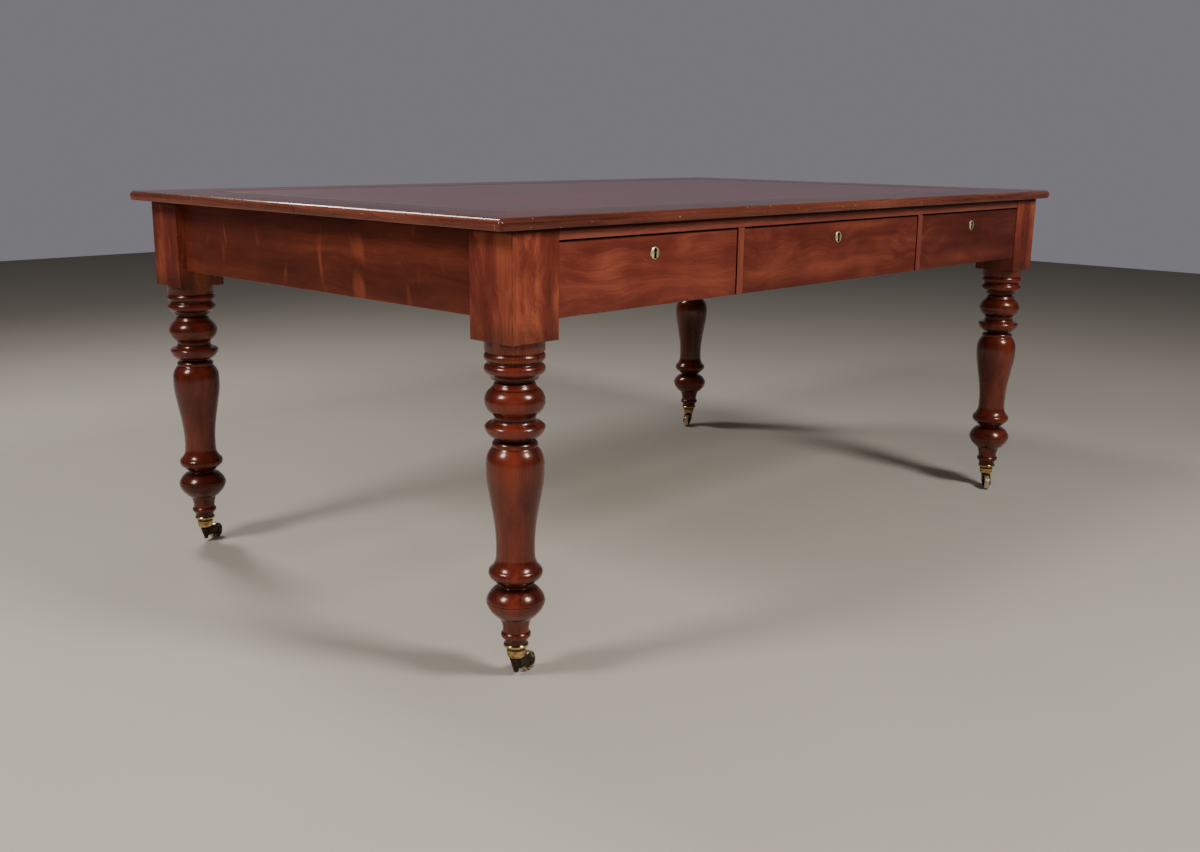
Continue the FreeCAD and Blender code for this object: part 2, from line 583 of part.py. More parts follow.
def drawer(side_name, place):
    """The four sub-parts of one drawer. Its own frame has the face towards -Y."""
    turn = 180 if LONG_SIDES[side_name] > 0 else 0
    middle, opening = OPENINGS[place]
    label = f"{side_name}_{place}_drawer"
    half_face = f"({opening} / 2 - Sizes.front_side_gap)"
    half_box = f"({opening} / 2 - Sizes.drawer_play)"
    side_bottom = f"({RUNNER_TOP} + Sizes.running_gap)"
    side_top = f"({DRAWER_TOP} - Sizes.drawer_headroom)"
    box_back = f"({HALF_PARTITION} + Sizes.running_gap)"
    box_length = f"({DRAWER_FRONT_BACK_Y} - {box_back})"

    face = new_body(f"{label}_face", middle, "0", "0", turn)
    body_box(face, "Additive", f"{label}_board",
             (f"(0 - {half_face})", f"(0 - {DRAWER_FACE_Y})", FRIEZE_BOTTOM),
             (f"(2 * {half_face})", "Sizes.front_thickness", f"({DRAWER_TOP} - {FRIEZE_BOTTOM})"))
    body_box(face, "Subtractive", f"{label}_lock_bed",
             ("(0 - Sizes.lock_width / 2 - Sizes.lock_fit)",
              f"(0 - {DRAWER_FRONT_BACK_Y} - Sizes.lock_depth)",
              f"({DRAWER_TOP} - Sizes.lock_height - Sizes.lock_fit)"),
             ("(Sizes.lock_width + 2 * Sizes.lock_fit)", "(Sizes.lock_depth + Sizes.overrun)",
              "(Sizes.lock_height + Sizes.lock_fit + Sizes.overrun)"))
    face_key = new_sketch(face, f"{label}_face_key", "XZ_Plane")
    keyhole(face_key, KEYHOLE_HEIGHT)
    pocket(face, face_key, f"{label}_face_keyhole", f"(2 * ({DRAWER_FACE_Y} + Sizes.overrun))")

    parts = [
        block(f"{label}_side_{number}", (low_x, f"(0 - {DRAWER_FRONT_BACK_Y})", side_bottom),
              ("Sizes.drawer_wall", box_length, f"({side_top} - {side_bottom})"))
        for number, low_x in enumerate((f"(0 - {half_box})", f"({half_box} - Sizes.drawer_wall)"), start=1)
    ]
    inner_width = f"(2 * ({half_box} - Sizes.drawer_wall))"
    parts.append(block(f"{label}_bottom_board",
                       (f"(0 - {half_box} + Sizes.drawer_wall)", f"(0 - {DRAWER_FRONT_BACK_Y})",
                        f"({side_bottom} + Sizes.bottom_rise)"),
                       (inner_width, box_length, "Sizes.bottom_thickness")))
    above_bottom = f"({side_bottom} + Sizes.bottom_rise + Sizes.bottom_thickness)"
    parts.append(block(f"{label}_back_board",
                       (f"(0 - {half_box} + Sizes.drawer_wall)", f"(0 - {box_back} - Sizes.drawer_wall)",
                        above_bottom),
                       (inner_width, "Sizes.drawer_wall",
                        f"({side_top} - Sizes.back_drop - {above_bottom})")))
    box = group(f"{label}_box", parts)
    seat(box, middle, "0", "0", turn)

    lock = new_body(f"{label}_lock", middle, "0", "0", turn)
    body_box(lock, "Additive", f"{label}_lock_case",
             ("(0 - Sizes.lock_width / 2)", f"(0 - {DRAWER_FRONT_BACK_Y} - Sizes.lock_depth)",
              f"({DRAWER_TOP} - Sizes.lock_height)"),
             ("Sizes.lock_width", "Sizes.lock_depth", "Sizes.lock_height"))
    lock_key = new_sketch(lock, f"{label}_lock_key", "XZ_Plane")
    keyhole(lock_key, KEYHOLE_HEIGHT)
    pocket(lock, lock_key, f"{label}_lock_keyhole", f"(2 * ({DRAWER_FACE_Y} + Sizes.overrun))")
    lap_width = "(Sizes.lock_width + 2 * Sizes.lock_plate_lap)"
    plate_bottom = f"({DRAWER_TOP} - Sizes.lock_height - Sizes.lock_plate_lap)"
    body_box(lock, "Additive", f"{label}_lock_plate",
             (f"(0 - {lap_width} / 2)", f"(0 - {DRAWER_FRONT_BACK_Y})", plate_bottom),
             (lap_width, "Sizes.lock_plate", f"({DRAWER_TOP} - {plate_bottom})"))

    shield = new_body(f"{label}_escutcheon", middle, f"{LONG_SIDES[side_name]} * {DRAWER_FACE_Y}",
                      KEYHOLE_HEIGHT, turn)
    dome = new_sketch(shield, f"{label}_dome", "XY_Plane")
    outline(dome, ("0", "0"), [
        ("Sizes.escutcheon_radius", "0"),
        ("Sizes.escutcheon_radius", "(0 - Sizes.escutcheon_edge)"),
        ("(Sizes.escutcheon_radius / 2)",
         f"(0 - Sizes.escutcheon_edge - (Sizes.escutcheon_crown - Sizes.escutcheon_edge) * {DOME_SHARE})",
         "0", "(0 - Sizes.escutcheon_crown)"),
        ("0", "0"),
    ])
    revolve(shield, dome, f"{label}_disc")
    shield_key = new_sketch(shield, f"{label}_shield_key", "XZ_Plane")
    keyhole(shield_key, "0")
    pocket(shield, shield_key, f"{label}_shield_keyhole", "(2 * (Sizes.escutcheon_crown + Sizes.overrun))")


for side_name in LONG_SIDES:
    for place in OPENINGS:
        drawer(side_name, place)


# The castors: a cup on the foot, a swivelling horn, a wheel and its axle

FORK_WIDTH = "(Sizes.wheel_width + 2 * (Sizes.wheel_side_gap + Sizes.cheek_thickness))"
SLOT_RADIUS = "(Sizes.wheel_radius + Sizes.wheel_tread_gap)"
HORN_TOP = f"({CUP_UNDERSIDE} - Sizes.swivel_gap)"

# How far the middle of a quarter round lies inside its corner, as a share of its radius
QUARTER_ROUND_SHARE = 0.29
# How far the rolled rim of a cup curls back at its top and bottom, as a share of its radius
RIM_CURL_SHARE = 0.95
# The rim of an axle's head, as a share of the head's height, and its crown's radius as one of the head's
HEAD_RIM_SHARE = 0.3
HEAD_CROWN_SHARE = 0.8
# The cheek's outline: its start on the boss as a share of the boss's radius, the point that its upper
# curve passes as shares of the trail and of the height above the axle, and the two ends of its lower
# curve as shares of the eye's radius
CHEEK_START_SHARE = 0.9
CHEEK_CURVE_SHARES = (0.93, 0.72)
CHEEK_HEEL_SHARES = (0.94, 0.35)


def castor_cup(name, x, y):
    """A brass cup with a rolled rim, a wall that tapers down and a pierced floor."""
    body = new_body(name, x, y, "0")
    wall = new_sketch(body, f"{name}_wall", "XZ_Plane")
    rim_bottom = "(Sizes.castor_height - Sizes.cup_rim_height)"
    hole = "(Sizes.spindle_radius + Sizes.spindle_clearance)"
    side_foot = f"({CUP_UNDERSIDE} + Sizes.cup_foot_round)"
    rim_curl = f"(Sizes.cup_rim_radius * {RIM_CURL_SHARE})"
    outline(wall, (hole, CUP_UNDERSIDE), [
        ("(Sizes.cup_foot_radius - Sizes.cup_foot_round)", CUP_UNDERSIDE),
        (f"(Sizes.cup_foot_radius - Sizes.cup_foot_round * {QUARTER_ROUND_SHARE})",
         f"({CUP_UNDERSIDE} + Sizes.cup_foot_round * {QUARTER_ROUND_SHARE})",
         "Sizes.cup_foot_radius", side_foot),
        ("Sizes.cup_body_radius", rim_bottom),
        (rim_curl, rim_bottom),
        ("Sizes.cup_rim_radius", "(Sizes.castor_height - Sizes.cup_rim_height / 2)",
         rim_curl, "Sizes.castor_height"),
        (CUP_MOUTH_RADIUS, "Sizes.castor_height"),
        (CUP_THROAT_RADIUS, CUP_THROAT_HEIGHT),
        (CUP_WELL_RADIUS, CUP_WELL_HEIGHT),
        (hole, CUP_WELL_HEIGHT),
        (hole, CUP_UNDERSIDE),
    ])
    revolve(body, wall, f"{name}_turning")
    return body


def castor_horn(name, x, y, turn):
    """A boss with its spindle through the cup's floor, and two cheeks that trail along +X."""
    body = new_body(name, x, y, "0", turn)
    stem = new_sketch(body, f"{name}_stem", "XZ_Plane")
    head_bottom = f"({CUP_WELL_HEIGHT} + Sizes.swivel_gap)"
    head_top = f"({head_bottom} + Sizes.spindle_head_height)"
    collar_bottom = f"({HORN_TOP} - Sizes.boss_collar)"
    tip = "Sizes.boss_tip_height"
    tip_side = f"({tip} + Sizes.boss_tip_radius)"
    outline(stem, ("0", tip), [
        (f"(Sizes.boss_tip_radius * (1 - {QUARTER_ROUND_SHARE}))",
         f"({tip} + Sizes.boss_tip_radius * {QUARTER_ROUND_SHARE})", "Sizes.boss_tip_radius", tip_side),
        ("Sizes.boss_radius", collar_bottom),
        ("Sizes.boss_radius", HORN_TOP),
        ("Sizes.spindle_radius", HORN_TOP),
        ("Sizes.spindle_radius", head_bottom),
        ("Sizes.spindle_head_radius", head_bottom),
        ("Sizes.spindle_head_radius", head_top),
        ("0", head_top),
        ("0", tip),
    ])
    revolve(body, stem, f"{name}_boss")
    cheek = new_sketch(body, f"{name}_cheek", "XZ_Plane")
    eye_x, eye_z = "Sizes.castor_trail", "Sizes.wheel_radius"
    curve_x_share, curve_z_share = CHEEK_CURVE_SHARES
    heel_x_share, heel_z_share = CHEEK_HEEL_SHARES
    outline(cheek, ("0", HORN_TOP), [
        (f"(Sizes.boss_radius * {CHEEK_START_SHARE})", HORN_TOP),
        (f"({eye_x} * {curve_x_share})", f"({eye_z} + ({HORN_TOP} - {eye_z}) * {curve_z_share})",
         f"({eye_x} + Sizes.cheek_eye_radius)", eye_z),
        (eye_x, f"({eye_z} - Sizes.cheek_eye_radius)",
         f"({eye_x} - Sizes.cheek_eye_radius * {heel_x_share})",
         f"({eye_z} - Sizes.cheek_eye_radius * {heel_z_share})"),
        ("Sizes.boss_tip_radius", f"({tip_side} + Sizes.boss_tip_radius)"),
        ("0", f"({tip_side} + Sizes.boss_tip_radius)"),
        ("0", HORN_TOP),
    ])
    pad(body, cheek, f"{name}_fork", FORK_WIDTH)
    slot = new_sketch(body, f"{name}_slot", "XZ_Plane")
    circle(slot, eye_x, eye_z, SLOT_RADIUS, "slot")
    pocket(body, slot, f"{name}_wheel_slot", "(Sizes.wheel_width + 2 * Sizes.wheel_side_gap)")
    eye = new_sketch(body, f"{name}_eye", "XZ_Plane")
    circle(eye, eye_x, eye_z, "Sizes.axle_radius", "eye")
    pocket(body, eye, f"{name}_axle_hole", f"({FORK_WIDTH} + Sizes.overrun)")
    return body


def castor_wheel(name, x, y, turn):
    """A brass wheel about its own Y axis, with rounded tread corners and dished faces."""
    body = new_body(name, x, y, "Sizes.wheel_radius", turn)
    rim = new_sketch(body, f"{name}_rim", "XY_Plane")
    bore = "(Sizes.axle_radius + Sizes.axle_clearance)"
    half = "(Sizes.wheel_width / 2)"
    web = f"({half} - Sizes.wheel_dish)"
    shoulder = "(Sizes.wheel_radius - Sizes.wheel_round)"
    web_rim = f"({shoulder} - Sizes.wheel_round)"
    flat = f"({half} - Sizes.wheel_round)"
    bend = f"(Sizes.wheel_round * {QUARTER_ROUND_SHARE})"
    outline(rim, (bore, half), [
        ("Sizes.wheel_hub_radius", half),
        ("(Sizes.wheel_hub_radius + Sizes.wheel_dish)", web),
        (f"({web_rim} - Sizes.wheel_dish)", web),
        (web_rim, half),
        (shoulder, half),
        (f"(Sizes.wheel_radius - {bend})", f"({half} - {bend})", "Sizes.wheel_radius", flat),
        ("Sizes.wheel_radius", f"(0 - {flat})"),
        (f"(Sizes.wheel_radius - {bend})", f"(0 - {half} + {bend})", shoulder, f"(0 - {half})"),
        (web_rim, f"(0 - {half})"),
        (f"({web_rim} - Sizes.wheel_dish)", f"(0 - {web})"),
        ("(Sizes.wheel_hub_radius + Sizes.wheel_dish)", f"(0 - {web})"),
        ("Sizes.wheel_hub_radius", f"(0 - {half})"),
        (bore, f"(0 - {half})"),
        (bore, half),
    ])
    revolve(body, rim, f"{name}_turning")
    return body


def castor_axle(name, x, y, turn):
    """A riveted pin through both cheeks, about its own Y axis."""
    body = new_body(name, x, y, "Sizes.wheel_radius", turn)
    pin = new_sketch(body, f"{name}_pin", "XY_Plane")
    half = f"({FORK_WIDTH} / 2)"
    outer = f"({half} + Sizes.axle_head_height)"
    crown_radius = f"(Sizes.axle_head_radius * {HEAD_CROWN_SHARE})"
    rim_end = f"({half} + Sizes.axle_head_height * {HEAD_RIM_SHARE})"
    outline(pin, ("0", outer), [
        (crown_radius, outer),
        ("Sizes.axle_head_radius", rim_end),
        ("Sizes.axle_head_radius", half),
        ("Sizes.axle_radius", half),
        ("Sizes.axle_radius", f"(0 - {half})"),
        ("Sizes.axle_head_radius", f"(0 - {half})"),
        ("Sizes.axle_head_radius", f"(0 - {rim_end})"),
        (crown_radius, f"(0 - {outer})"),
        ("0", f"(0 - {outer})"),
        ("0", outer),
    ])
    revolve(body, pin, f"{name}_turning")
    return body


for place, turn in CASTOR_TURNS.items():
    side_name, end_name = place.split("_")
    x = f"({END_SIDES[end_name]} * {LEG_X})"
    y = f"({LONG_SIDES[side_name]} * {LEG_Y})"
    trail_x = f"({x} + Sizes.castor_trail * {math.cos(math.radians(turn))})"
    trail_y = f"({y} + Sizes.castor_trail * {math.sin(math.radians(turn))})"
    castor_cup(f"castor_cup_{place}", x, y)
    castor_horn(f"castor_horn_{place}", x, y, turn)
    castor_wheel(f"castor_wheel_{place}", trail_x, trail_y, turn)
    castor_axle(f"castor_axle_{place}", trail_x, trail_y, turn)


doc.recompute()

faults = [thing.Name for thing in doc.Objects if {"Invalid", "Error"} & set(thing.State)]
faults += [part.Label for part in subparts if part.Shape.isNull() or not part.Shape.isValid()]
if faults:
    raise SystemExit("failed objects: " + ", ".join(sorted(set(faults))))

os.makedirs("parts", exist_ok=True)
for part in subparts:
    part.Shape.exportStep(f"parts/{part.Label}.step")
print(len(subparts), "sub-parts written")
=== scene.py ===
import json
import math

import bmesh
import bpy
from mathutils import Euler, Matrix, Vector


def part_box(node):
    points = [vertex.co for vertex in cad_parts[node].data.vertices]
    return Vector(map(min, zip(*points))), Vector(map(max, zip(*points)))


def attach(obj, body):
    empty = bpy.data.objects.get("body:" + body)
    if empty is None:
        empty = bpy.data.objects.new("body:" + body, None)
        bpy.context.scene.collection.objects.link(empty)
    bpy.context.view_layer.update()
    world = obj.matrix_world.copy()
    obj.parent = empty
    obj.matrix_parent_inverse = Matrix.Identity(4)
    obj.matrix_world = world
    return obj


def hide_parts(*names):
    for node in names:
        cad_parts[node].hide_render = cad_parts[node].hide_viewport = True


# Partners' writing table: polished mahogany, a leather writing surface, six drawers, and four
# turned legs on castors. Metres. X runs along the table, Y across it, Z up. The floor is at zero,
# and the middle of the top is over the origin.

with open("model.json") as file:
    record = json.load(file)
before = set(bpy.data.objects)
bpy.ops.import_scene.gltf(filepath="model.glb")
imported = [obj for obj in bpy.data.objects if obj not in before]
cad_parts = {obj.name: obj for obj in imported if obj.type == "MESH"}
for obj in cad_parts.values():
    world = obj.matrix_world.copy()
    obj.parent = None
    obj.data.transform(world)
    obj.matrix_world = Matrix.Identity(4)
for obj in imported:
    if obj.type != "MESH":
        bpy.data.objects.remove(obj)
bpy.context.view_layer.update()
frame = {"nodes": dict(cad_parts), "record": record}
MM = 0.001

RECORD = frame["record"]
BODY_OF = {node: body for body, nodes in RECORD["behaviour"]["bodies"].items() for node in nodes}
JOINT_OF = {joint["child"]: joint for joint in RECORD["behaviour"]["joints"]}
SIDES = ("front", "right", "back", "left")
CORNERS = ("front_left", "back_left", "front_right", "back_right")
DRAWERS = [f"{side}_{place}_drawer" for side in ("front", "back")
           for place in ("left", "middle", "right")]
# Corners of a mesh that lie nearer to each other than this are one
WELD = 0.002 * MM
TOP_BOX = (
    Vector([min(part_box(f"top_border_{side}")[0][axis] for side in SIDES) for axis in range(3)]),
    Vector([max(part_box(f"top_border_{side}")[1][axis] for side in SIDES) for axis in range(3)]),
)


# Shader maths

class Signal:
    """A socket of a node tree that adds, multiplies and compares like a number."""

    def __init__(self, nodes, socket):
        self.nodes = nodes
        self.socket = socket

    def math(self, operation, *values):
        return self.nodes.node("ShaderNodeMath", {"operation": operation}, dict(enumerate(values)))

    def __add__(self, other):
        return self.math("ADD", self, other)

    def __radd__(self, other):
        return self.math("ADD", other, self)

    def __sub__(self, other):
        return self.math("SUBTRACT", self, other)

    def __rsub__(self, other):
        return self.math("SUBTRACT", other, self)

    def __mul__(self, other):
        return self.math("MULTIPLY", self, other)

    def __rmul__(self, other):
        return self.math("MULTIPLY", other, self)

    def __truediv__(self, other):
        return self.math("DIVIDE", self, other)

    def __abs__(self):
        return self.math("ABSOLUTE", self)

    def least(self, other):
        return self.math("MINIMUM", self, other)

    def most(self, other):
        return self.math("MAXIMUM", self, other)

    def fraction(self):
        return self.math("FRACT", self)

    def swing(self, amount):
        """Noise about 0.5 as noise about 0, made stronger or weaker."""
        return (self - 0.5) * amount

    def step(self, low, high):
        """0 under low, 1 over high and smooth between them. Low may be the greater."""
        return self.nodes.node("ShaderNodeMapRange", {"interpolation_type": "SMOOTHSTEP"},
                               {"Value": self, "From Min": low, "From Max": high}, "Result")

    def line(self, at, half_width, soft):
        """1 within half_width of a value, falling to 0 over soft."""
        return abs(self - at).step(half_width + soft, half_width)

    def part(self, axis):
        """One axis of a vector."""
        return self.nodes.node("ShaderNodeSeparateXYZ", {}, {"Vector": self}, axis)


class Nodes:
    """Builds the nodes of one tree."""

    def __init__(self, tree):
        self.tree = tree

    def node(self, kind, settings, inputs, output=0):
        """Add a node: its settings first, then the values or links of its inputs."""
        made = self.tree.nodes.new(kind)
        for name, setting in settings.items():
            setattr(made, name, setting)
        for key, given in inputs.items():
            self.feed(made.inputs[key], given)
        return None if output is None else Signal(self, made.outputs[output])

    def feed(self, socket, given):
        """Link a signal to a socket, or set the socket's own value."""
        if isinstance(given, Signal):
            self.tree.links.new(given.socket, socket)
        else:
            socket.default_value = given

    def vector(self, x, y, z):
        return self.node("ShaderNodeCombineXYZ", {}, {"X": x, "Y": y, "Z": z})

    def mix(self, factor, first, second):
        """A colour between two others. The mix node keeps its colours in sockets 6 and 7."""
        return self.node("ShaderNodeMix", {"data_type": "RGBA"},
                         {"Factor": factor, 6: first, 7: second}, 2)


class Maker(Nodes):
    """Builds one material's nodes."""

    def __init__(self, name):
        self.material = bpy.data.materials.new(name)
        self.material.use_nodes = True
        super().__init__(self.material.node_tree)
        self.shader = self.tree.nodes["Principled BSDF"]

    def place(self):
        """Where the surface is, in the table's frame."""
        return self.node("ShaderNodeTexCoord", {}, {}, "Object")

    def marked(self, name):
        """How far the surface is marked with one of the piece's own values."""
        return self.node("ShaderNodeAttribute", {"attribute_name": name}, {}, "Fac")

    def scaled(self, vector, factors):
        return self.node("ShaderNodeVectorMath", {"operation": "MULTIPLY"}, {0: vector, 1: factors})

    def length(self, vector):
        return self.node("ShaderNodeVectorMath", {"operation": "LENGTH"}, {0: vector}, "Value")

    def noise(self, vector, scale=1.0, detail=2.0, roughness=0.5, distortion=0.0):
        """Smooth noise about 0.5."""
        return self.node("ShaderNodeTexNoise", {}, {
            "Vector": vector, "Scale": scale, "Detail": detail, "Roughness": roughness,
            "Distortion": distortion})

    def ramp(self, factor, stops):
        """A colour read off a row of stops: (position, (red, green, blue))."""
        made = self.tree.nodes.new("ShaderNodeValToRGB")
        for index, (position, colour) in enumerate(stops):
            if index < 2:
                stop = made.color_ramp.elements[index]
                stop.position = position
            else:
                stop = made.color_ramp.elements.new(position)
            stop.color = (*colour, 1)
        self.feed(made.inputs["Fac"], factor)
        return Signal(self, made.outputs["Color"])

    def bump(self, height, strength, distance):
        """A normal from a height, in metres where strength is 1."""
        return self.node("ShaderNodeBump", {},
                         {"Height": height, "Strength": strength, "Distance": distance}, "Normal")

    def finish(self, **sockets):
        """Feed the surface shader's sockets, whose names have underscores for blanks."""
        for name, given in sockets.items():
            self.feed(self.shader.inputs[name.replace("_", " ")], given)
        return self.material


def rgb(red, green, blue):
    """A colour as seen on a screen, 0 to 255, as the shader's linear colour."""
    def linear(level):
        level /= 255
        return level / 12.92 if level <= 0.04045 else ((level + 0.055) / 1.055) ** 2.4
    return (linear(red), linear(green), linear(blue))


def opaque(colour, share=1.0):
    """A colour with its alpha, darkened to a share of itself."""
    return (*(level * share for level in colour), 1)


# Wood. A pair of values is where a soft step is 0 and where it is 1.

# Tones, dark to light
DEEP = (rgb(42, 10, 7), rgb(76, 24, 15), rgb(116, 43, 26))
WARM = (rgb(68, 26, 20), rgb(107, 48, 37), rgb(152, 78, 56))
BLOCK = (rgb(66, 24, 18), rgb(114, 50, 38), rgb(168, 88, 58))
DUSKY = (rgb(60, 25, 17), rgb(92, 41, 29), rgb(126, 61, 41))
RUDDY = (rgb(84, 38, 30), rgb(121, 61, 48), rgb(152, 87, 68))
EDGE = (rgb(64, 28, 20), rgb(104, 51, 37), rgb(144, 82, 58))
OAK = (rgb(104, 72, 42), rgb(146, 108, 68), rgb(176, 138, 94))
PINE = (rgb(74, 50, 32), rgb(112, 80, 52), rgb(142, 106, 72))
RUBBED = rgb(176, 104, 68)
# Near black: old polish gone dark in grooves and joints, and also painted shade in gaps, corners
# and keyholes
OLD_POLISH_AND_SHADE = rgb(24, 8, 5)
CHIPPED = rgb(214, 190, 160)

# The grain's direction, then the two across it
GRAIN_AXES = {"X": ("X", "Y", "Z"), "Y": ("Y", "X", "Z"), "Z": ("Z", "X", "Y")}
# How far apart in the wood one board lies from the next
BOARD_STEP = 0.73
BOARD_SHIFT = (3.1, 1.7, 2.3)
# How often the grain's lines wander, and how far
WANDER_SCALE = (2.2, 6, 6)
WANDER = 30 * MM

# How fine the wood's figure is, along the grain and across it
CURL_SCALE = (5, 9, 9)
FIBRE_SCALE = (7, 480, 480)
RING_SCALE = (1.8, 60, 60)
BAND_SCALE = (1.2, 17, 17)
CLOUD_SCALE = (4.5, 13, 13)
GLOW_SCALE = (13, 9, 9)
PORE_SCALE = (80, 1300, 1300)
FLECK_SCALE = (26, 10, 10)

# The colour that polish gives its highlights
SHEEN_TINT = (1.0, 0.62, 0.45)
POLISH_BUMP = 0.22
POLISH_GRAIN = 0.1 * MM
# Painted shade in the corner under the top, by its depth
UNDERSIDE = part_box("top_rail_front")[1].z
PAINTED_CORNER_SHADE = 0.92
PAINTED_CORNER_SHADE_DEPTH = (9 * MM, 4 * MM)
PAINTED_CORNER_SHADE_TOP = (-0.2 * MM, 0)


def dirtied_or_shaded(maker, colour, share):
    """A colour under a share of near black, which stands for old polish gone dark in grooves and
    joints, and for painted shade in other places.
    """
    return maker.mix(share, colour, opaque(OLD_POLISH_AND_SHADE))


def grain_along(maker, along, seed):
    """The surface's place in the wood, grain direction first, its lines wandering a little.

    Faces marked across have the first two directions swapped, and each marked board lies
    elsewhere in the wood.
    """
    place = maker.place()
    first, second, third = (place.part(axis) for axis in GRAIN_AXES[along])
    swap = (second - first) * maker.marked("across")
    shift = maker.marked("board") * BOARD_STEP + seed
    first = first + swap + shift * BOARD_SHIFT[0]
    second = second - swap + shift * BOARD_SHIFT[1]
    third = third - shift * BOARD_SHIFT[2]
    wander = maker.noise(maker.scaled(maker.vector(first, second, third), WANDER_SCALE), detail=1)
    drift = wander.swing(WANDER)
    return maker.vector(first, second + drift, third + drift)


def figured(maker, grain, tones, figure, streak):
    """Mahogany's colour by fibres, curling rings, bands and clouds, with its fibres' height."""
    along, second, third = (grain.part(axis) for axis in "XYZ")
    curl = maker.noise(maker.scaled(grain, CURL_SCALE), detail=1).swing(0.15 * figure)
    curled = maker.vector(along, second + curl, third + curl)
    fibre = maker.noise(maker.scaled(curled, FIBRE_SCALE), detail=2, roughness=0.6)
    rings = maker.noise(maker.scaled(curled, RING_SCALE), detail=3, roughness=0.62)
    bands = maker.noise(maker.scaled(grain, BAND_SCALE), detail=1)
    clouds = maker.noise(maker.scaled(grain, CLOUD_SCALE), detail=2)
    glow = maker.noise(maker.scaled(grain, GLOW_SCALE), detail=1)
    streaks = fibre.swing(0.55) + rings.swing(1.0) + bands.swing(0.9)
    patches = clouds.swing(1.5) + glow.swing(0.5)
    tone = 0.5 + streaks * streak + patches * figure
    pores = maker.noise(maker.scaled(grain, PORE_SCALE), detail=1).step(0.60, 0.76)
    dark, fair_tone, light = tones
    colour = maker.ramp(tone, [(0.1, dark), (0.5, fair_tone), (0.9, light)])
    colour = maker.mix(pores * 0.3, colour, opaque(dark, 0.4))
    return colour, fibre.swing(0.6) - pores * 0.6


def polished(maker, colour, height, gloss, coating, coat_gloss,
             arris=RUBBED, arris_share=0.2, sheen=0.12):
    """Finish a wood under French polish, its arrises rubbed lighter or darkened, and dusty here and
    there.

    Painted shade darkens the faces marked inside and the corner under the top, and the darkened
    arrises along the drawers' gaps are painted shade too.
    """
    place = maker.place()
    wear = maker.noise(place, scale=11, detail=3)
    rubbed = maker.marked("rubbed") * maker.noise(place, scale=120, detail=2).step(0.3, 0.62)
    dust = maker.noise(place, scale=3.2, detail=4, roughness=0.65).step(0.55, 0.85)
    # Painted shade in the corner under the top, from the underside down
    depth = UNDERSIDE - place.part("Z")
    painted_corner_shade = depth.step(*PAINTED_CORNER_SHADE_DEPTH) * depth.step(*PAINTED_CORNER_SHADE_TOP) * PAINTED_CORNER_SHADE
    dirt_and_shade = painted_corner_shade.most(maker.marked("inside"))
    colour = maker.mix(rubbed * arris_share, colour, opaque(arris))
    return maker.finish(
        Base_Color=dirtied_or_shaded(maker, colour, dirt_and_shade),
        Roughness=gloss + wear.swing(0.16) + dust * 0.1,
        Normal=maker.bump(height, POLISH_BUMP, POLISH_GRAIN),
        Coat_Weight=coating * (1 - dust * 0.25),
        Coat_Roughness=coat_gloss,
        Specular_IOR_Level=sheen,
        Specular_Tint=opaque(SHEEN_TINT),
    )


def mahogany(name, along, tones, figure, streak, coating=0.75, seed=0.0, flecks=0.0, **arris):
    """A French polished board. Flecks are the few short bright marks of a curl in the grain."""
    maker = Maker(name)
    grain = grain_along(maker, along, seed)
    colour, height = figured(maker, grain, tones, figure, streak)
    if flecks:
        curls = maker.noise(maker.scaled(grain, FLECK_SCALE), detail=1, distortion=0.6)
        colour = maker.mix(curls.step(0.6, 0.84) * flecks, colour, opaque(tones[2], 1.25))
    return polished(maker, colour, height, gloss=0.3, coating=coating, coat_gloss=0.09, **arris)


# How far in the border's edge is moulded, and how far down it turns under
MOULDED_WIDTH = (11 * MM, 8 * MM)
UNDERCUT_DEPTH = (7 * MM, 10 * MM)
MITRE_WIDTH = (0.6 * MM, 0.2 * MM)
MITRE_DIRT = 0.7
CHIP_SCALE = 300
CHIP_STEP = (0.84, 0.86)
EDGE_LINE_SCALE = (1.5, 260, 260)


def border_wood(name):
    """The top's border: mitred boards, their moulded edge streaked, lighter and a bit chipped."""
    maker = Maker(name)
    grain = grain_along(maker, "X", seed=1.0)
    colour, height = figured(maker, grain, DEEP, figure=0.3, streak=0.75)
    edge_grain = maker.scaled(grain, (1, 1.6, 1.6))
    edge_colour, _ = figured(maker, edge_grain, EDGE, figure=0.2, streak=1.15)
    place = maker.place()
    high = TOP_BOX[1]
    from_end = high.x - abs(place.part("X"))
    from_side = high.y - abs(place.part("Y"))
    moulded = from_end.least(from_side).step(*MOULDED_WIDTH)
    colour = maker.mix(moulded, colour, edge_colour)
    mitre = abs(from_end - from_side).step(*MITRE_WIDTH) * (1 - moulded)
    colour = dirtied_or_shaded(maker, colour, mitre * MITRE_DIRT)
    chips = maker.noise(place, scale=CHIP_SCALE, detail=0).step(*CHIP_STEP) * moulded
    colour = maker.mix(chips, colour, opaque(CHIPPED))
    lines = maker.noise(maker.scaled(grain, EDGE_LINE_SCALE), detail=2)
    under = (high.z - place.part("Z")).step(*UNDERCUT_DEPTH)
    return polished(maker, colour, height + lines.swing(1.2), gloss=0.28,
                    coating=0.45 + moulded * (0.15 - under * 0.35), coat_gloss=0.08)


# The foot of a leg's block is the lowest corner at the leg's outer side
LEG_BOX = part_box("leg_front_left")
BLOCK_BOTTOM = min(corner.co.z for corner in frame["nodes"]["leg_front_left"].data.vertices
                   if corner.co.x < LEG_BOX[0].x + WELD)
# Painted shade towards the foot of the block: how dark, and over what height
BLOCK_FOOT_SHADE = 0.45
BLOCK_FOOT_DEPTH = 45 * MM
BLOCK_EDGE = 0.5 * MM
CUP_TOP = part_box("castor_cup_front_left")[1].z
# The foot of the drum under the block, as a share of the turned height
DRUM_SHARE = 0.9625
DRUM_EDGE = 0.002
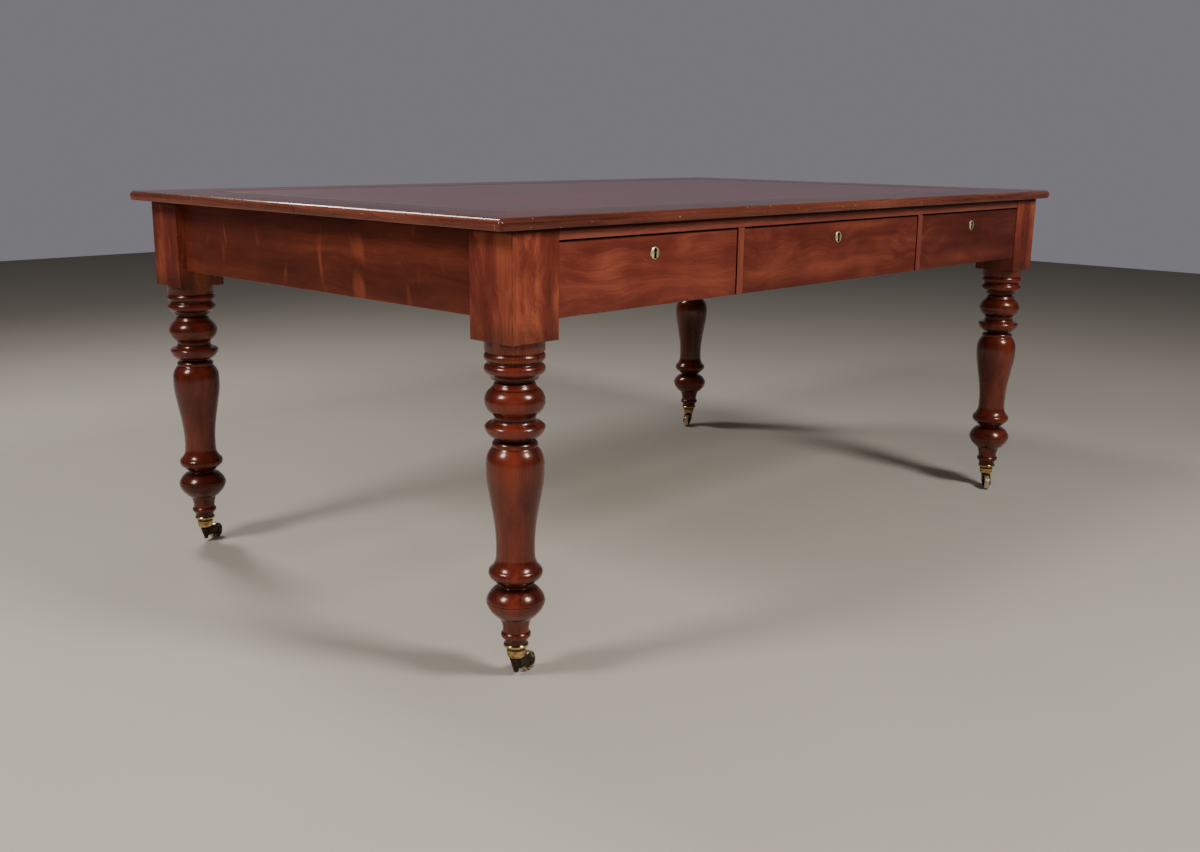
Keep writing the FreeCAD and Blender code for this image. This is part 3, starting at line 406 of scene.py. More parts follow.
# The turning's deep places: share of the turned height, half width and soft edge in millimetres
GROOVES = (
    (DRUM_SHARE, 0.5, 2.5), (0.931, 0.5, 2.5), (0.888, 1.0, 4.5), (0.874, 2.5, 2.0),
    (0.849, 0.3, 0.8), (0.7545, 1.0, 5.0), (0.687, 4.0, 4.0), (0.661, 0.3, 0.8),
    (0.202, 3.5, 4.0), (0.1515, 0.4, 0.6), (0.099, 1.0, 4.0), (0.042, 0.3, 1.5), (0.01, 4.0, 4.0),
)
GROOVE_DIRT = 0.75


def leg_wood(name, painted_lightness):
    """A leg's wood: warm on the block and the drum under it, deeper on the rest of the turning.

    Old polish has gone dark in the grooves. Painted shade darkens the block towards its foot, and
    each leg by its own share.
    """
    maker = Maker(name)
    grain = grain_along(maker, "Z", seed=5.0)
    level = maker.place().part("Z")
    warm, height = figured(maker, grain, BLOCK, figure=0.7, streak=0.75)
    deep, _ = figured(maker, grain, DEEP, figure=0.5, streak=0.75)
    # Painted shade, darker towards the foot of the block
    painted_foot_shade = level.step(BLOCK_BOTTOM + BLOCK_FOOT_DEPTH, BLOCK_BOTTOM) * BLOCK_FOOT_SHADE
    share = (level - CUP_TOP) / (BLOCK_BOTTOM - CUP_TOP)
    drum = share.step(DRUM_SHARE - DRUM_EDGE, DRUM_SHARE)
    block = level.step(BLOCK_BOTTOM - BLOCK_EDGE, BLOCK_BOTTOM + BLOCK_EDGE)
    colour = maker.mix(drum * 0.35 + block * 0.65, deep, dirtied_or_shaded(maker, warm, painted_foot_shade))
    per_mm = MM / (BLOCK_BOTTOM - CUP_TOP)
    grooves = share * 0
    for at, half_width, soft in GROOVES:
        grooves = grooves.most(share.line(at, half_width * per_mm, soft * per_mm))
    colour = dirtied_or_shaded(maker, colour, grooves * GROOVE_DIRT)
    # Painted shade: the whole leg darkened by its own share
    colour = dirtied_or_shaded(maker, colour, 1 - painted_lightness)
    return polished(maker, colour, height, gloss=0.27, coating=0.45 - drum * 0.3, coat_gloss=0.11,
                    arris=OLD_POLISH_AND_SHADE, arris_share=0.5, sheen=0.42)


# Painted shade in the gaps round the drawers, and a painted shadow line along the top of each
# drawer's face
PAINTED_GAP_SHADE = 0.8
TOP_SHADOW_LINE = 0.85
TOP_SHADOW_LINE_DEPTH = (2.4 * MM, 1.1 * MM)
# A drawer's dovetails: their number and length, and the pins between them at root and end
TAILS = 4
TAIL_DEPTH = 16 * MM
WIDE_PIN = 9 * MM
NARROW_PIN = 4 * MM
TAIL_EDGE = (0, 0.05 * MM)
JOINT_HALF_WIDTH = 0.08 * MM
JOINT_SOFTNESS = 0.12 * MM
JOINT_DIRT = 0.8


def drawer_front(name, painted_lightness):
    """A drawer's face: figured outside, with the tails of its lapped dovetails at both ends, and
    painted shade in the gaps and under the rail.
    """
    maker = Maker(name)
    grain = grain_along(maker, "X", seed=6.0)
    colour, height = figured(maker, grain, WARM, figure=0.6, streak=0.55)
    # Painted shade: the whole face darkened by its own share
    colour = dirtied_or_shaded(maker, colour, 1 - painted_lightness)
    place = maker.place()
    low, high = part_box("front_left_drawer_box")
    pitch = (high.z - low.z) / TAILS
    depth = abs(place.part("Y")) + low.y
    rise = (place.part("Z") - low.z) / pitch
    off_centre = abs(rise.fraction() - 0.5) * pitch
    half_tail = (pitch - WIDE_PIN) / 2 + depth * ((WIDE_PIN - NARROW_PIN) / 2 / TAIL_DEPTH)
    inside = (TAIL_DEPTH - depth).least(half_tail - off_centre)
    inside = inside.least(rise * pitch).least((TAILS - rise) * pitch)
    at_end = maker.marked("end")
    tails = inside.step(*TAIL_EDGE) * at_end
    # Painted shade on the face's ends, in the gaps beside the drawer
    colour = dirtied_or_shaded(maker, colour, at_end * PAINTED_GAP_SHADE)
    oak, _ = figured(maker, maker.scaled(grain, (1, 0.8, 0.8)), OAK, figure=0.3, streak=0.9)
    colour = maker.mix(tails, colour, oak)
    joint = inside.line(0, JOINT_HALF_WIDTH, JOINT_SOFTNESS) * at_end
    colour = dirtied_or_shaded(maker, colour, joint * JOINT_DIRT)
    below_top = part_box("front_left_drawer_face")[1].z - place.part("Z")
    # A painted shadow line along the top of the face, under the rail
    colour = dirtied_or_shaded(maker, colour, below_top.step(*TOP_SHADOW_LINE_DEPTH) * TOP_SHADOW_LINE)
    # Darkened arrises round the face: painted shade along the gaps
    return polished(maker, colour, height, gloss=0.34, coating=0.55, coat_gloss=0.1,
                    arris=OLD_POLISH_AND_SHADE, arris_share=0.85)


PLAIN_RING_SCALE = (1.2, 60, 60)
PLAIN_FIBRE_SCALE = (7, 500, 500)
PLAIN_GRAIN = 0.15 * MM


def lining_wood(name, along, tones, seed=0.0):
    """Plain unpolished wood inside the carcase and the drawers, mellowed and a little dusty."""
    maker = Maker(name)
    grain = grain_along(maker, along, seed)
    rings = maker.noise(maker.scaled(grain, PLAIN_RING_SCALE), detail=3, distortion=0.6)
    fibre = maker.noise(maker.scaled(grain, PLAIN_FIBRE_SCALE), detail=2, roughness=0.6)
    dirt_and_shade = maker.noise(maker.place(), scale=7, detail=4, roughness=0.6)
    tone = 0.5 + rings.swing(1.3) + fibre.swing(0.5) + dirt_and_shade.swing(0.4)
    dark, fair_tone, light = tones
    colour = maker.ramp(tone, [(0.15, dark), (0.5, fair_tone), (0.85, light)])
    return maker.finish(
        Base_Color=maker.mix(dirt_and_shade.step(0.55, 0.8) * 0.35, colour, opaque(dark, 0.45)),
        Roughness=0.62 + dirt_and_shade.swing(0.2),
        Normal=maker.bump(fibre, 0.3, PLAIN_GRAIN),
        Specular_IOR_Level=0.35,
    )


# Brass

# The keyholes as they are cut, from the middle of the escutcheon, and the width of the painted
# shade round them
KEYHOLE_HEAD = 4.8 * MM
KEYHOLE_RADIUS = 3.2 * MM
KEYHOLE_FOOT = -8 * MM
KEYHOLE_HALF_WAIST = 1.5 * MM
KEYHOLE_HALF_FOOT = 2.5 * MM
PAINTED_KEYHOLE_SHADE_WIDTH = (1.1 * MM, 0.6 * MM)
# A castor cup's rolled rim, the step to its bright middle, and the line of painted shade under it
CUP_RIM = CUP_TOP - 3.5 * MM
RIM_STEP = 1.0 * MM
RIM_SHADE_DROP = 5 * MM
RIM_SHADE_HALF_WIDTH = 1.0 * MM
RIM_SHADE_SOFTNESS = 3 * MM


def painted_keyhole_shade(maker, place):
    """How far the brass is darkened round the keyholes of all six escutcheons, as painted shade."""
    low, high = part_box("front_right_drawer_escutcheon")
    sideways = abs(place.part("X"))
    across = sideways.least(abs(sideways - (low.x + high.x) / 2))
    up = place.part("Z") - (low.z + high.z) / 2
    head = maker.length(maker.vector(across, up - KEYHOLE_HEAD, 0)) - KEYHOLE_RADIUS
    flare = (KEYHOLE_HALF_FOOT - KEYHOLE_HALF_WAIST) / (KEYHOLE_HEAD - KEYHOLE_FOOT)
    slot = (across - KEYHOLE_HALF_WAIST - (KEYHOLE_HEAD - up) * flare).most(KEYHOLE_FOOT - up)
    return head.least(slot.most(up - KEYHOLE_HEAD)).step(*PAINTED_KEYHOLE_SHADE_WIDTH)


def brass(name, bright, dull, tarnish, gloss, metal=1.0, rim=None, fullness=0.0, keyhole=False):
    """Brass with tarnish in soft patches, rubbed bright where it is marked.

    Over the height of a rim it is bright too, and just under that it is darkened by painted shade.
    Fullness, in millimetres, is how much rounder a dome looks than it is.
    """
    maker = Maker(name)
    place = maker.place()
    patches = maker.noise(place, scale=150, detail=4, roughness=0.6)
    specks = maker.noise(place, scale=700, detail=2)
    dullness = patches + specks.swing(0.3)
    dullness = dullness.step(0.66 - tarnish * 0.45, 0.9 - tarnish * 0.35)
    rubbed = maker.marked("rubbed")
    # Painted shade on the faces marked inside, a keyhole's walls
    dirt_and_shade = maker.marked("inside")
    if rim:
        level = place.part("Z")
        rubbed = rubbed.most(level.step(rim - RIM_STEP, rim) * 0.9)
        # A band of painted shade just under the rim
        line = level.line(rim - RIM_SHADE_DROP, RIM_SHADE_HALF_WIDTH, RIM_SHADE_SOFTNESS)
        dirt_and_shade = dirt_and_shade.most(line * 0.75)
    if keyhole:
        # Painted shade round the keyhole
        dirt_and_shade = dirt_and_shade.most(painted_keyhole_shade(maker, place))
    dullness = (dullness * (1 - rubbed * 0.85)).most(dirt_and_shade)
    colour = maker.mix(dullness, opaque(bright), opaque(dull))
    dome = maker.marked("dome") * fullness
    return maker.finish(
        Base_Color=dirtied_or_shaded(maker, colour, dirt_and_shade),
        Metallic=metal - dullness * 0.3,
        Roughness=gloss + dullness * 0.25 + specks.swing(0.06),
        Normal=maker.bump((patches + specks * 0.3) * 0.012 + dome, 1.0, MM),
    )


# Leather

# Tones of the hide, dark to light, of its blind tooling and of its gilding
HIDE = (rgb(62, 18, 20), rgb(92, 31, 33), rgb(118, 48, 48))
PRESSED_HIDE = rgb(44, 12, 14)
GILDING = rgb(176, 132, 62)
PEBBLE_SCALE = 900.0
# Tooled lines: distance from the leather's edge, half width and soft edge
GILT_LINES = ((16 * MM, 0.9 * MM, 0.2 * MM), (20 * MM, 0.35 * MM, 0.15 * MM),
              (42 * MM, 0.5 * MM, 0.15 * MM))
BLIND_LINES = ((24 * MM, 0.4 * MM, 0.15 * MM), (38 * MM, 0.4 * MM, 0.15 * MM))
# The row of lozenges between the blind lines
LOZENGE_ROW = 31 * MM
LOZENGE_HALF_WIDTH = 5.5 * MM
LOZENGE_PITCH = 9 * MM
TURN_OF_ROW = 0.01 * MM


def writing_leather(name):
    """Burgundy hide, waxed, with gilt lines and a blind roll round its edge."""
    maker = Maker(name)
    place = maker.place()
    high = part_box("leather_skiver")[1]
    from_end = high.x - abs(place.part("X"))
    from_side = high.y - abs(place.part("Y"))
    inset = from_end.least(from_side)
    pebbles = maker.node("ShaderNodeTexVoronoi", {"feature": "F1"},
                         {"Vector": place, "Scale": PEBBLE_SCALE}, "Distance")
    grain = maker.noise(place, scale=420, detail=3, roughness=0.6)
    clouds = maker.noise(place, scale=4, detail=6, roughness=0.62)
    mottle = maker.noise(place, scale=55, detail=3, roughness=0.6)
    tone = 0.5 + clouds.swing(0.6) + mottle.swing(0.4) + grain.swing(0.45)
    hide = maker.ramp(tone, list(zip((0.2, 0.5, 0.8), HIDE)))
    gilt = inset.line(*GILT_LINES[0])
    for line in GILT_LINES[1:]:
        gilt = gilt.most(inset.line(*line))
    gilt = gilt * maker.noise(place, scale=60, detail=3).step(0.62, 0.46)
    at_end = (from_side - from_end).step(0, TURN_OF_ROW)
    run = at_end * place.part("Y") + (1 - at_end) * place.part("X")
    across = abs(inset - LOZENGE_ROW) / LOZENGE_HALF_WIDTH
    along = abs((run / LOZENGE_PITCH).fraction() - 0.5) * 2
    blind = (across + along).step(1.0, 0.8)
    for line in BLIND_LINES:
        blind = blind.most(inset.line(*line))
    colour = maker.mix(blind * 0.45, hide, opaque(PRESSED_HIDE))
    colour = maker.mix(gilt * 0.8, colour, opaque(GILDING))
    height = (pebbles * 0.4 + grain * 0.5) * 0.5 - blind * 0.8 - gilt * 0.6
    return maker.finish(
        Base_Color=colour,
        Metallic=gilt * 0.6,
        Roughness=0.34 + clouds.swing(0.16) + grain.swing(0.1),
        Normal=maker.bump(height, 0.4, 0.1 * MM),
        Coat_Weight=0.5,
        Coat_Roughness=0.11,
    )


# Meshes

# Values that a piece's faces carry for the materials
FACE_MARKS = ("rubbed", "across", "board", "end", "inside")
# Faces that turn less than FLAT are one, and edges that turn more than CREASE look sharp
FLAT = math.radians(0.02)
CREASE = math.radians(32)
# Arrises that are rounded turn more than ARRIS_TURN and are longer than SHORTEST_ARRIS
ARRIS_TURN = math.radians(40)
ARRIS_STEPS = 3
SHORTEST_ARRIS = 12 * MM
# A face looks along an axis if its normal's part on it is over this
FACING = 0.9
# A drawer's bottom board is thinner than this, and has its grain across
BOTTOM_BOARD = 10 * MM
# A keyhole's walls lie within this share of the escutcheon's width from its middle, and the part
# of their normals on Y is under the second number
KEYHOLE_REACH_SHARE = 0.42
KEYHOLE_WALL_TURN = 0.5
# Where an escutcheon's rubbed middle ends, and over how much of its radius
RIM_SHARE = 0.97
RIM_SOFTNESS = 0.2
# The fall of an escutcheon's dome from crown to rim as built, and as it is turned down here
DOME_RISE = 1.37 * MM
TURNED_RISE = 1.9 * MM
# A corner this near to the built dome is on it, and past this share of the radius the rim is level
DOME_MARGIN = 0.06 * MM
RIM_TURN = 0.99
# How far out over half a ball the fuller dome goes, as a share of the ball's radius
DOME_FILL = 0.9


def blank():
    """An empty skin whose faces can be marked."""
    skin = bmesh.new()
    for name in FACE_MARKS:
        skin.faces.layers.float.new(name)
    return skin


def mark(skin, name, faces, level=1.0):
    """Mark faces with a value."""
    layer = skin.faces.layers.float[name]
    for face in faces:
        face[layer] = level


def merged(node):
    """A node's skin in one piece, with its flat faces made whole."""
    skin = blank()
    skin.from_mesh(frame["nodes"][node].data)
    bmesh.ops.remove_doubles(skin, verts=skin.verts, dist=WELD)
    bmesh.ops.dissolve_limit(skin, angle_limit=FLAT, verts=skin.verts, edges=skin.edges)
    return skin


def islands(skin):
    """The skin's separate solids, each as a list of faces, in the order of their first faces."""
    left = set(skin.faces)
    found = []
    for first in skin.faces:
        if first not in left:
            continue
        left.remove(first)
        reached = [first]
        for face in reached:
            for edge in face.edges:
                for neighbour in edge.link_faces:
                    if neighbour in left:
                        left.remove(neighbour)
                        reached.append(neighbour)
        found.append(reached)
    return found


def extent(faces):
    """The three sizes of some faces together."""
    corners = [corner.co for face in faces for corner in face.verts]
    return Vector([max(co[axis] for co in corners) - min(co[axis] for co in corners)
                   for axis in range(3)])


def made(name, skin, material):
    """A smooth shaded object of a finished skin, with creases where it turns sharply."""
    mesh = bpy.data.meshes.new(name)
    skin.to_mesh(mesh)
    skin.free()
    mesh.materials.append(material)
    mesh.shade_smooth()
    mesh.set_sharp_from_angle(angle=CREASE)
    thing = bpy.data.objects.new(name, mesh)
    bpy.context.scene.collection.objects.link(thing)
    return thing


def evaluated(thing):
    """Fix a thing's modifiers into its mesh."""
    bpy.context.view_layer.update()
    whole = thing.evaluated_get(bpy.context.evaluated_depsgraph_get())
    fixed = bpy.data.meshes.new_from_object(whole)
    thing.modifiers.clear()
    thing.data = fixed
    return thing


def fair(thing):
    """Let the big faces of a soft-edged piece set its shading, so that only its arrises turn."""
    weighting = thing.modifiers.new("flat faces", "WEIGHTED_NORMAL")
    weighting.keep_sharp = True
    weighting.weight = 100
    return evaluated(thing)


def stand_for(thing, *nodes):
    """Let a piece take the place of nodes of one body, which are hidden."""
    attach(thing, BODY_OF[nodes[0]])
    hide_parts(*nodes)


def mark_keyhole(skin, drawer):
    """Mark the walls of a drawer's keyhole, which are darkened as painted shade."""
    low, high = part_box(f"{drawer}_escutcheon")
    centre = (low + high) / 2
    reach = (high.x - low.x) * KEYHOLE_REACH_SHARE
    mark(skin, "inside", [face for face in skin.faces if abs(face.normal.y) < KEYHOLE_WALL_TURN
                          and (face.calc_center_median() - centre).xz.length < reach])


def mark_dome(skin, drawer):
    """Turn the rim of a drawer's escutcheon down a little, and mark its middle as rubbed.

    Its corners are also marked with the height of a fuller dome.
    """
    low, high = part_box(f"{drawer}_escutcheon")
    centre, radius = (low + high) / 2, (high.x - low.x) / 2
    inward = 1 if drawer.startswith("front") else -1
    crown = low.y if inward > 0 else high.y
    for corner in skin.verts:
        share = min((corner.co - centre).xz.length / radius, RIM_TURN)
        if abs((corner.co.y - crown) * inward - DOME_RISE * share ** 2) < DOME_MARGIN:
            corner.co.y = crown + inward * TURNED_RISE * (1 - math.sqrt(1 - share ** 2))
    layer = skin.faces.layers.float["rubbed"]
    for face in skin.faces:
        share = (face.calc_center_median() - centre).xz.length / radius
        face[layer] = min(1, max(0, (RIM_SHARE - share) / RIM_SOFTNESS))
    layer = skin.verts.layers.float.new("dome")
    for corner in skin.verts:
        share = (corner.co - centre).xz.length / radius
        corner[layer] = math.sqrt(1 - (DOME_FILL * min(1, share)) ** 2)


def softened(node, material, arris):
    """A node again with its long outer edges rounded over, as planing and polishing leave them."""
    skin = merged(node)
    boards = islands(skin)
    if len(boards) > 1:
        for number, faces in enumerate(boards):
            sizes = extent(faces)
            mark(skin, "board", faces, number)
            mark(skin, "across", faces, float(sizes.x > sizes.y or sizes.z < BOTTOM_BOARD))
    ends = [face for face in skin.faces if abs(face.normal.x) > FACING]
    mark(skin, "end", ends)
    # Painted shade: faces that look into the gaps round the drawers are marked inside
    if node.endswith("_face"):
        mark_keyhole(skin, BODY_OF[node])
        mark(skin, "inside", [face for face in skin.faces if face.normal.z > FACING], PAINTED_GAP_SHADE)
    elif node.startswith("top_rail"):
        mark(skin, "inside", [face for face in skin.faces if face.normal.z < -FACING], PAINTED_GAP_SHADE)
    elif node.startswith("drawer_dividers"):
        mark(skin, "inside", ends, PAINTED_GAP_SHADE)
    edges = [edge for edge in skin.edges if len(edge.link_faces) == 2
             and edge.calc_length() > SHORTEST_ARRIS
             and edge.calc_face_angle_signed(0) > ARRIS_TURN]
    rounded = bmesh.ops.bevel(skin, geom=edges, offset=arris, offset_type="OFFSET",
                              segments=ARRIS_STEPS, profile=0.5, affect="EDGES",
                              clamp_overlap=True)
    mark(skin, "rubbed", rounded["faces"])
    stand_for(fair(made(f"{node}_finished", skin, material)), node)


def smoothed(node, material):
    """A node again as one smooth skin."""
    skin = merged(node)
    if node.endswith("_escutcheon"):
        mark_dome(skin, BODY_OF[node])
        mark_keyhole(skin, BODY_OF[node])
    stand_for(made(f"{node}_finished", skin, material), node)


def coat(node, material):
    """Give a node that stays its material."""
    slots = frame["nodes"][node].data.materials
    slots.clear()
    slots.append(material)


CORNER_RADIUS = 6 * MM
CORNER_STEPS = 8


def border_section():
    """The border's section, in order round its middle: distance from the top's edge, and height."""
    low = TOP_BOX[0]
    section = {}
    for corner in frame["nodes"]["top_border_front"].data.vertices:
        inset = corner.co.y - low.y
        section[(round(inset / WELD), round(corner.co.z / WELD))] = (inset, corner.co.z)
    middle = sum(inset for inset, _ in section.values()) / len(section)
    level = sum(z for _, z in section.values()) / len(section)
    return sorted(section.values(),
                  key=lambda point: math.atan2(point[1] - level, point[0] - middle))


def border_ring(skin, section, quarter, angle):
    """The section's corners set at an angle of one rounded corner of the top."""
    high = TOP_BOX[1]
    sign_x = 1 if quarter in (0, 1) else -1
    sign_y = 1 if quarter in (1, 2) else -1
    ring = []
    for inset, z in section:
        reach = max(CORNER_RADIUS, inset)
        radius = reach - inset
        ring.append(skin.verts.new((
            sign_x * (high.x - reach) + radius * math.cos(angle),
            sign_y * (high.y - reach) + radius * math.sin(angle), z)))
    return ring


def top_border(material):
    """The four border boards as one skin, with the moulded edge carried round each corner."""
    section = border_section()
    skin = blank()
    rings = []
    for quarter in range(4):
        start = quarter * math.pi / 2 - math.pi / 2
        for step in range(CORNER_STEPS + 1):
            angle = start + math.pi / 2 * step / CORNER_STEPS
            rings.append((quarter, step, border_ring(skin, section, quarter, angle)))
    at_ends, at_sides = [], []
    for index, (quarter, step, ring) in enumerate(rings):
        following = rings[(index + 1) % len(rings)][2]
        if step == CORNER_STEPS:
            at_end = quarter in (0, 2)
        else:
            at_end = (step < CORNER_STEPS / 2) == (quarter in (1, 3))
        for at in range(len(section)):
            after = (at + 1) % len(section)
            face = skin.faces.new([ring[at], following[at], following[after], ring[after]])
            (at_ends if at_end else at_sides).append(face)
    mark(skin, "across", at_ends)
    mark(skin, "board", at_sides)
    bmesh.ops.remove_doubles(skin, verts=skin.verts, dist=WELD)
    bmesh.ops.dissolve_degenerate(skin, dist=WELD, edges=skin.edges)
    bmesh.ops.recalc_face_normals(skin, faces=skin.faces)
    border = made("top_border_finished", skin, material)
    stand_for(border, *(f"top_border_{side}" for side in SIDES))


# A wheel's faces this near to its rim are its tread
TREAD_DEPTH = 0.8 * MM


def wheel(corner, material):
    """A castor's wheel, its tread marked as rubbed."""
    node = f"castor_wheel_{corner}"
    skin = merged(node)
    joint = JOINT_OF[f"wheel_{corner}"]
    centre, axis = Vector(joint["pos_m"]), Vector(joint["axis"]).normalized()
    far = []
    for face in skin.faces:
        arm = face.calc_center_median() - centre
        far.append(((arm - axis * arm.dot(axis)).length, face))
    rim = max(distance for distance, _ in far)
    mark(skin, "rubbed", [face for distance, face in far if distance > rim - TREAD_DEPTH])
    stand_for(made(f"{node}_finished", skin, material), node)


# Screws

SCREW_SIDES = 28
SCREW_RADIUS = 2.4 * MM
SCREW_PROUD = 0.5 * MM
SCREW_SLOT = 0.7 * MM
SCREW_INSET = 5 * MM
# The blade that cuts a head's slot: its length in radii, and its middle's height as a share
BLADE_SHARE = 4
SLOT_FLOOR_SHARE = 0.75
SCREW_INPUTS = {
    "Radius": "NodeSocketFloat", "Height": "NodeSocketFloat", "Slot": "NodeSocketFloat",
    "Turn": "NodeSocketFloat", "Seed": "NodeSocketInt", "Material": "NodeSocketMaterial",
}


def screw_heads():
    """A node group that sets a slotted screw head, facing -Y, on each vertex of a mesh."""
    group = bpy.data.node_groups.new("screw_heads", "GeometryNodeTree")
    sockets = group.interface
    sockets.new_socket("Geometry", in_out="INPUT", socket_type="NodeSocketGeometry")
    for name, kind in SCREW_INPUTS.items():
        sockets.new_socket(name, in_out="INPUT", socket_type=kind)
    sockets.new_socket("Geometry", in_out="OUTPUT", socket_type="NodeSocketGeometry")
    nodes = Nodes(group)
    entry = group.nodes.new("NodeGroupInput")
    given = {socket.name: Signal(nodes, socket) for socket in entry.outputs if socket.name}
    head = nodes.node("GeometryNodeMeshCylinder", {}, {
        "Vertices": SCREW_SIDES, "Radius": given["Radius"], "Depth": given["Height"]})
    blade_size = nodes.vector(given["Radius"] * BLADE_SHARE, given["Slot"], given["Height"])
    blade = nodes.node("GeometryNodeMeshCube", {}, {"Size": blade_size})
    blade = nodes.node("GeometryNodeTransform", {}, {
        "Geometry": blade,
        "Translation": nodes.vector(0.0, 0.0, given["Height"] * SLOT_FLOOR_SHARE)})
    cut = nodes.node("GeometryNodeMeshBoolean", {"operation": "DIFFERENCE"}, {0: head, 1: blade})
    laid = nodes.node("GeometryNodeTransform", {}, {
        "Geometry": cut, "Rotation": Euler((math.pi / 2, 0, 0))})
    # A number between 0 and a half turn: the node keeps its numbers in inputs 2 and 3, output 1
    spin = nodes.node("FunctionNodeRandomValue", {"data_type": "FLOAT"},
                      {2: 0.0, 3: math.pi, "Seed": given["Seed"]}, 1)
    spread = nodes.node("GeometryNodeInstanceOnPoints", {}, {
        "Points": given["Geometry"], "Instance": laid,
        "Rotation": nodes.vector(given["Turn"], spin, 0.0)})
    real = nodes.node("GeometryNodeRealizeInstances", {}, {"Geometry": spread})
    coloured = nodes.node("GeometryNodeSetMaterial", {}, {
        "Geometry": real, "Material": given["Material"]})
    nodes.node("NodeGroupOutput", {}, {0: coloured}, None)
    return group


def lock_screws(drawer, group, material, number):
    """Four screws in the back plate of a drawer's lock."""
    low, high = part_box(f"{drawer}_lock")
    inward = drawer.startswith("front")
    y = high.y if inward else low.y
    mesh = bpy.data.meshes.new(f"{drawer}_screws")
    mesh.from_pydata([(x, y, z) for x in (low.x + SCREW_INSET, high.x - SCREW_INSET)
                      for z in (low.z + SCREW_INSET, high.z - SCREW_INSET)], [], [])
    thing = bpy.data.objects.new(f"{drawer}_screws", mesh)
    bpy.context.scene.collection.objects.link(thing)
    heads = thing.modifiers.new("screw heads", "NODES")
    heads.node_group = group
    chosen = {"Radius": SCREW_RADIUS, "Height": SCREW_PROUD * 2, "Slot": SCREW_SLOT,
              "Turn": math.pi if inward else 0.0, "Seed": number, "Material": material}
    for item in group.interface.items_tree:
        if item.in_out == "INPUT" and item.name in chosen:
            heads[item.identifier] = chosen[item.name]
    evaluated(thing)
    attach(thing, drawer)


# The table's pieces

# Radii of the rounded arrises
LEATHER_ARRIS = 0.4 * MM
RAIL_ARRIS = 0.8 * MM
DIVIDER_ARRIS = 0.6 * MM
APRON_ARRIS = 1.0 * MM
LEG_ARRIS = 1.6 * MM
FACE_ARRIS = 0.9 * MM
BOX_ARRIS = 0.6 * MM
# How light the legs are, in the order of the corners, and each side's drawers from left to right:
# darkened copies of one wood, as painted shade
LEG_PAINTED_SHADES = (1.0, 0.86, 0.95, 0.9)
DRAWER_PAINTED_SHADES = (1.0, 0.78, 0.6)

top_border(border_wood("mahogany_border"))
softened("leather_skiver", writing_leather("burgundy_leather"), LEATHER_ARRIS)

# Darkened arrises on the rails and dividers: painted shade along the gaps round the drawers
SHADED_ARRIS = {"arris": OLD_POLISH_AND_SHADE, "arris_share": 0.7}
RAIL = mahogany("mahogany_rail", "X", RUDDY, figure=0.3, streak=0.6, seed=1.0, **SHADED_ARRIS)
DIVIDER = mahogany("mahogany_upright", "Z", RUDDY, figure=0.3, streak=0.5, seed=3.0, **SHADED_ARRIS)
for side in ("front", "back"):
    softened(f"top_rail_{side}", RAIL, RAIL_ARRIS)
    softened(f"drawer_dividers_{side}", DIVIDER, DIVIDER_ARRIS)
APRON = mahogany("mahogany_apron", "Y", DUSKY, figure=0.35, streak=0.6, seed=4.0, flecks=0.8,
                 coating=0.6)
for side in ("left", "right"):
    softened(f"end_apron_{side}", APRON, APRON_ARRIS)
for corner, painted_lightness in zip(CORNERS, LEG_PAINTED_SHADES):
    softened(f"leg_{corner}", leg_wood(f"mahogany_leg_painted_shade_{corner}", painted_lightness), LEG_ARRIS)

CARCASE = lining_wood("carcase_pine", "X", PINE)
CARCASE_DEEP = lining_wood("carcase_pine_across", "Y", PINE, seed=2.0)
for node in ("top_ground", "centre_partition"):
    coat(node, CARCASE)
for node in ("drawer_runners", "drawer_guides", "drawer_kickers"):
    coat(node, CARCASE_DEEP)

ESCUTCHEON_BRASS = brass("escutcheon_brass", rgb(255, 236, 178), rgb(84, 62, 34),
                         tarnish=1.0, gloss=0.29, metal=0.85, fullness=3.6, keyhole=True)
LOCK_BRASS = brass("lock_brass", rgb(200, 170, 112), rgb(130, 102, 62), tarnish=0.5, gloss=0.34)
SCREW_BRASS = brass("screw_brass", rgb(222, 196, 140), rgb(96, 74, 44), tarnish=0.25, gloss=0.26)
CUP_BRASS = brass("cup_brass", rgb(224, 188, 122), rgb(118, 89, 50), tarnish=0.6, gloss=0.17,
                  rim=CUP_RIM)
HORN_BRASS = brass("horn_brass", rgb(112, 87, 52), rgb(44, 33, 20), tarnish=1.0, gloss=0.28)
WHEEL_BRASS = brass("wheel_brass", rgb(226, 206, 166), rgb(60, 46, 30), tarnish=1.0, gloss=0.26,
                    metal=0.85)

DRAWER_FACES = [drawer_front(f"mahogany_figured_painted_shade_{number}", painted_lightness)
                for number, painted_lightness in enumerate(DRAWER_PAINTED_SHADES)]
DRAWER_LINING = lining_wood("drawer_oak", "Y", OAK, seed=4.0)
SCREWS = screw_heads()
for number, drawer in enumerate(DRAWERS):
    softened(f"{drawer}_face", DRAWER_FACES[number % len(DRAWER_FACES)], FACE_ARRIS)
    softened(f"{drawer}_box", DRAWER_LINING, BOX_ARRIS)
    coat(f"{drawer}_lock", LOCK_BRASS)
    lock_screws(drawer, SCREWS, SCREW_BRASS, number)
    smoothed(f"{drawer}_escutcheon", ESCUTCHEON_BRASS)

for corner in CORNERS:
    smoothed(f"castor_cup_{corner}", CUP_BRASS)
    smoothed(f"castor_horn_{corner}", HORN_BRASS)
    smoothed(f"castor_axle_{corner}", HORN_BRASS)
    wheel(corner, WHEEL_BRASS)


# Floor, light and camera

FLOOR_SIZE = 14
FLOOR_TONE = rgb(184, 175, 162)
# The studio's backdrop, low and high where it is lit, and dark on the camera's side
LIT_LOW = rgb(120, 119, 125)
LIT_HIGH = rgb(66, 66, 70)
UNLIT = rgb(58, 57, 58)
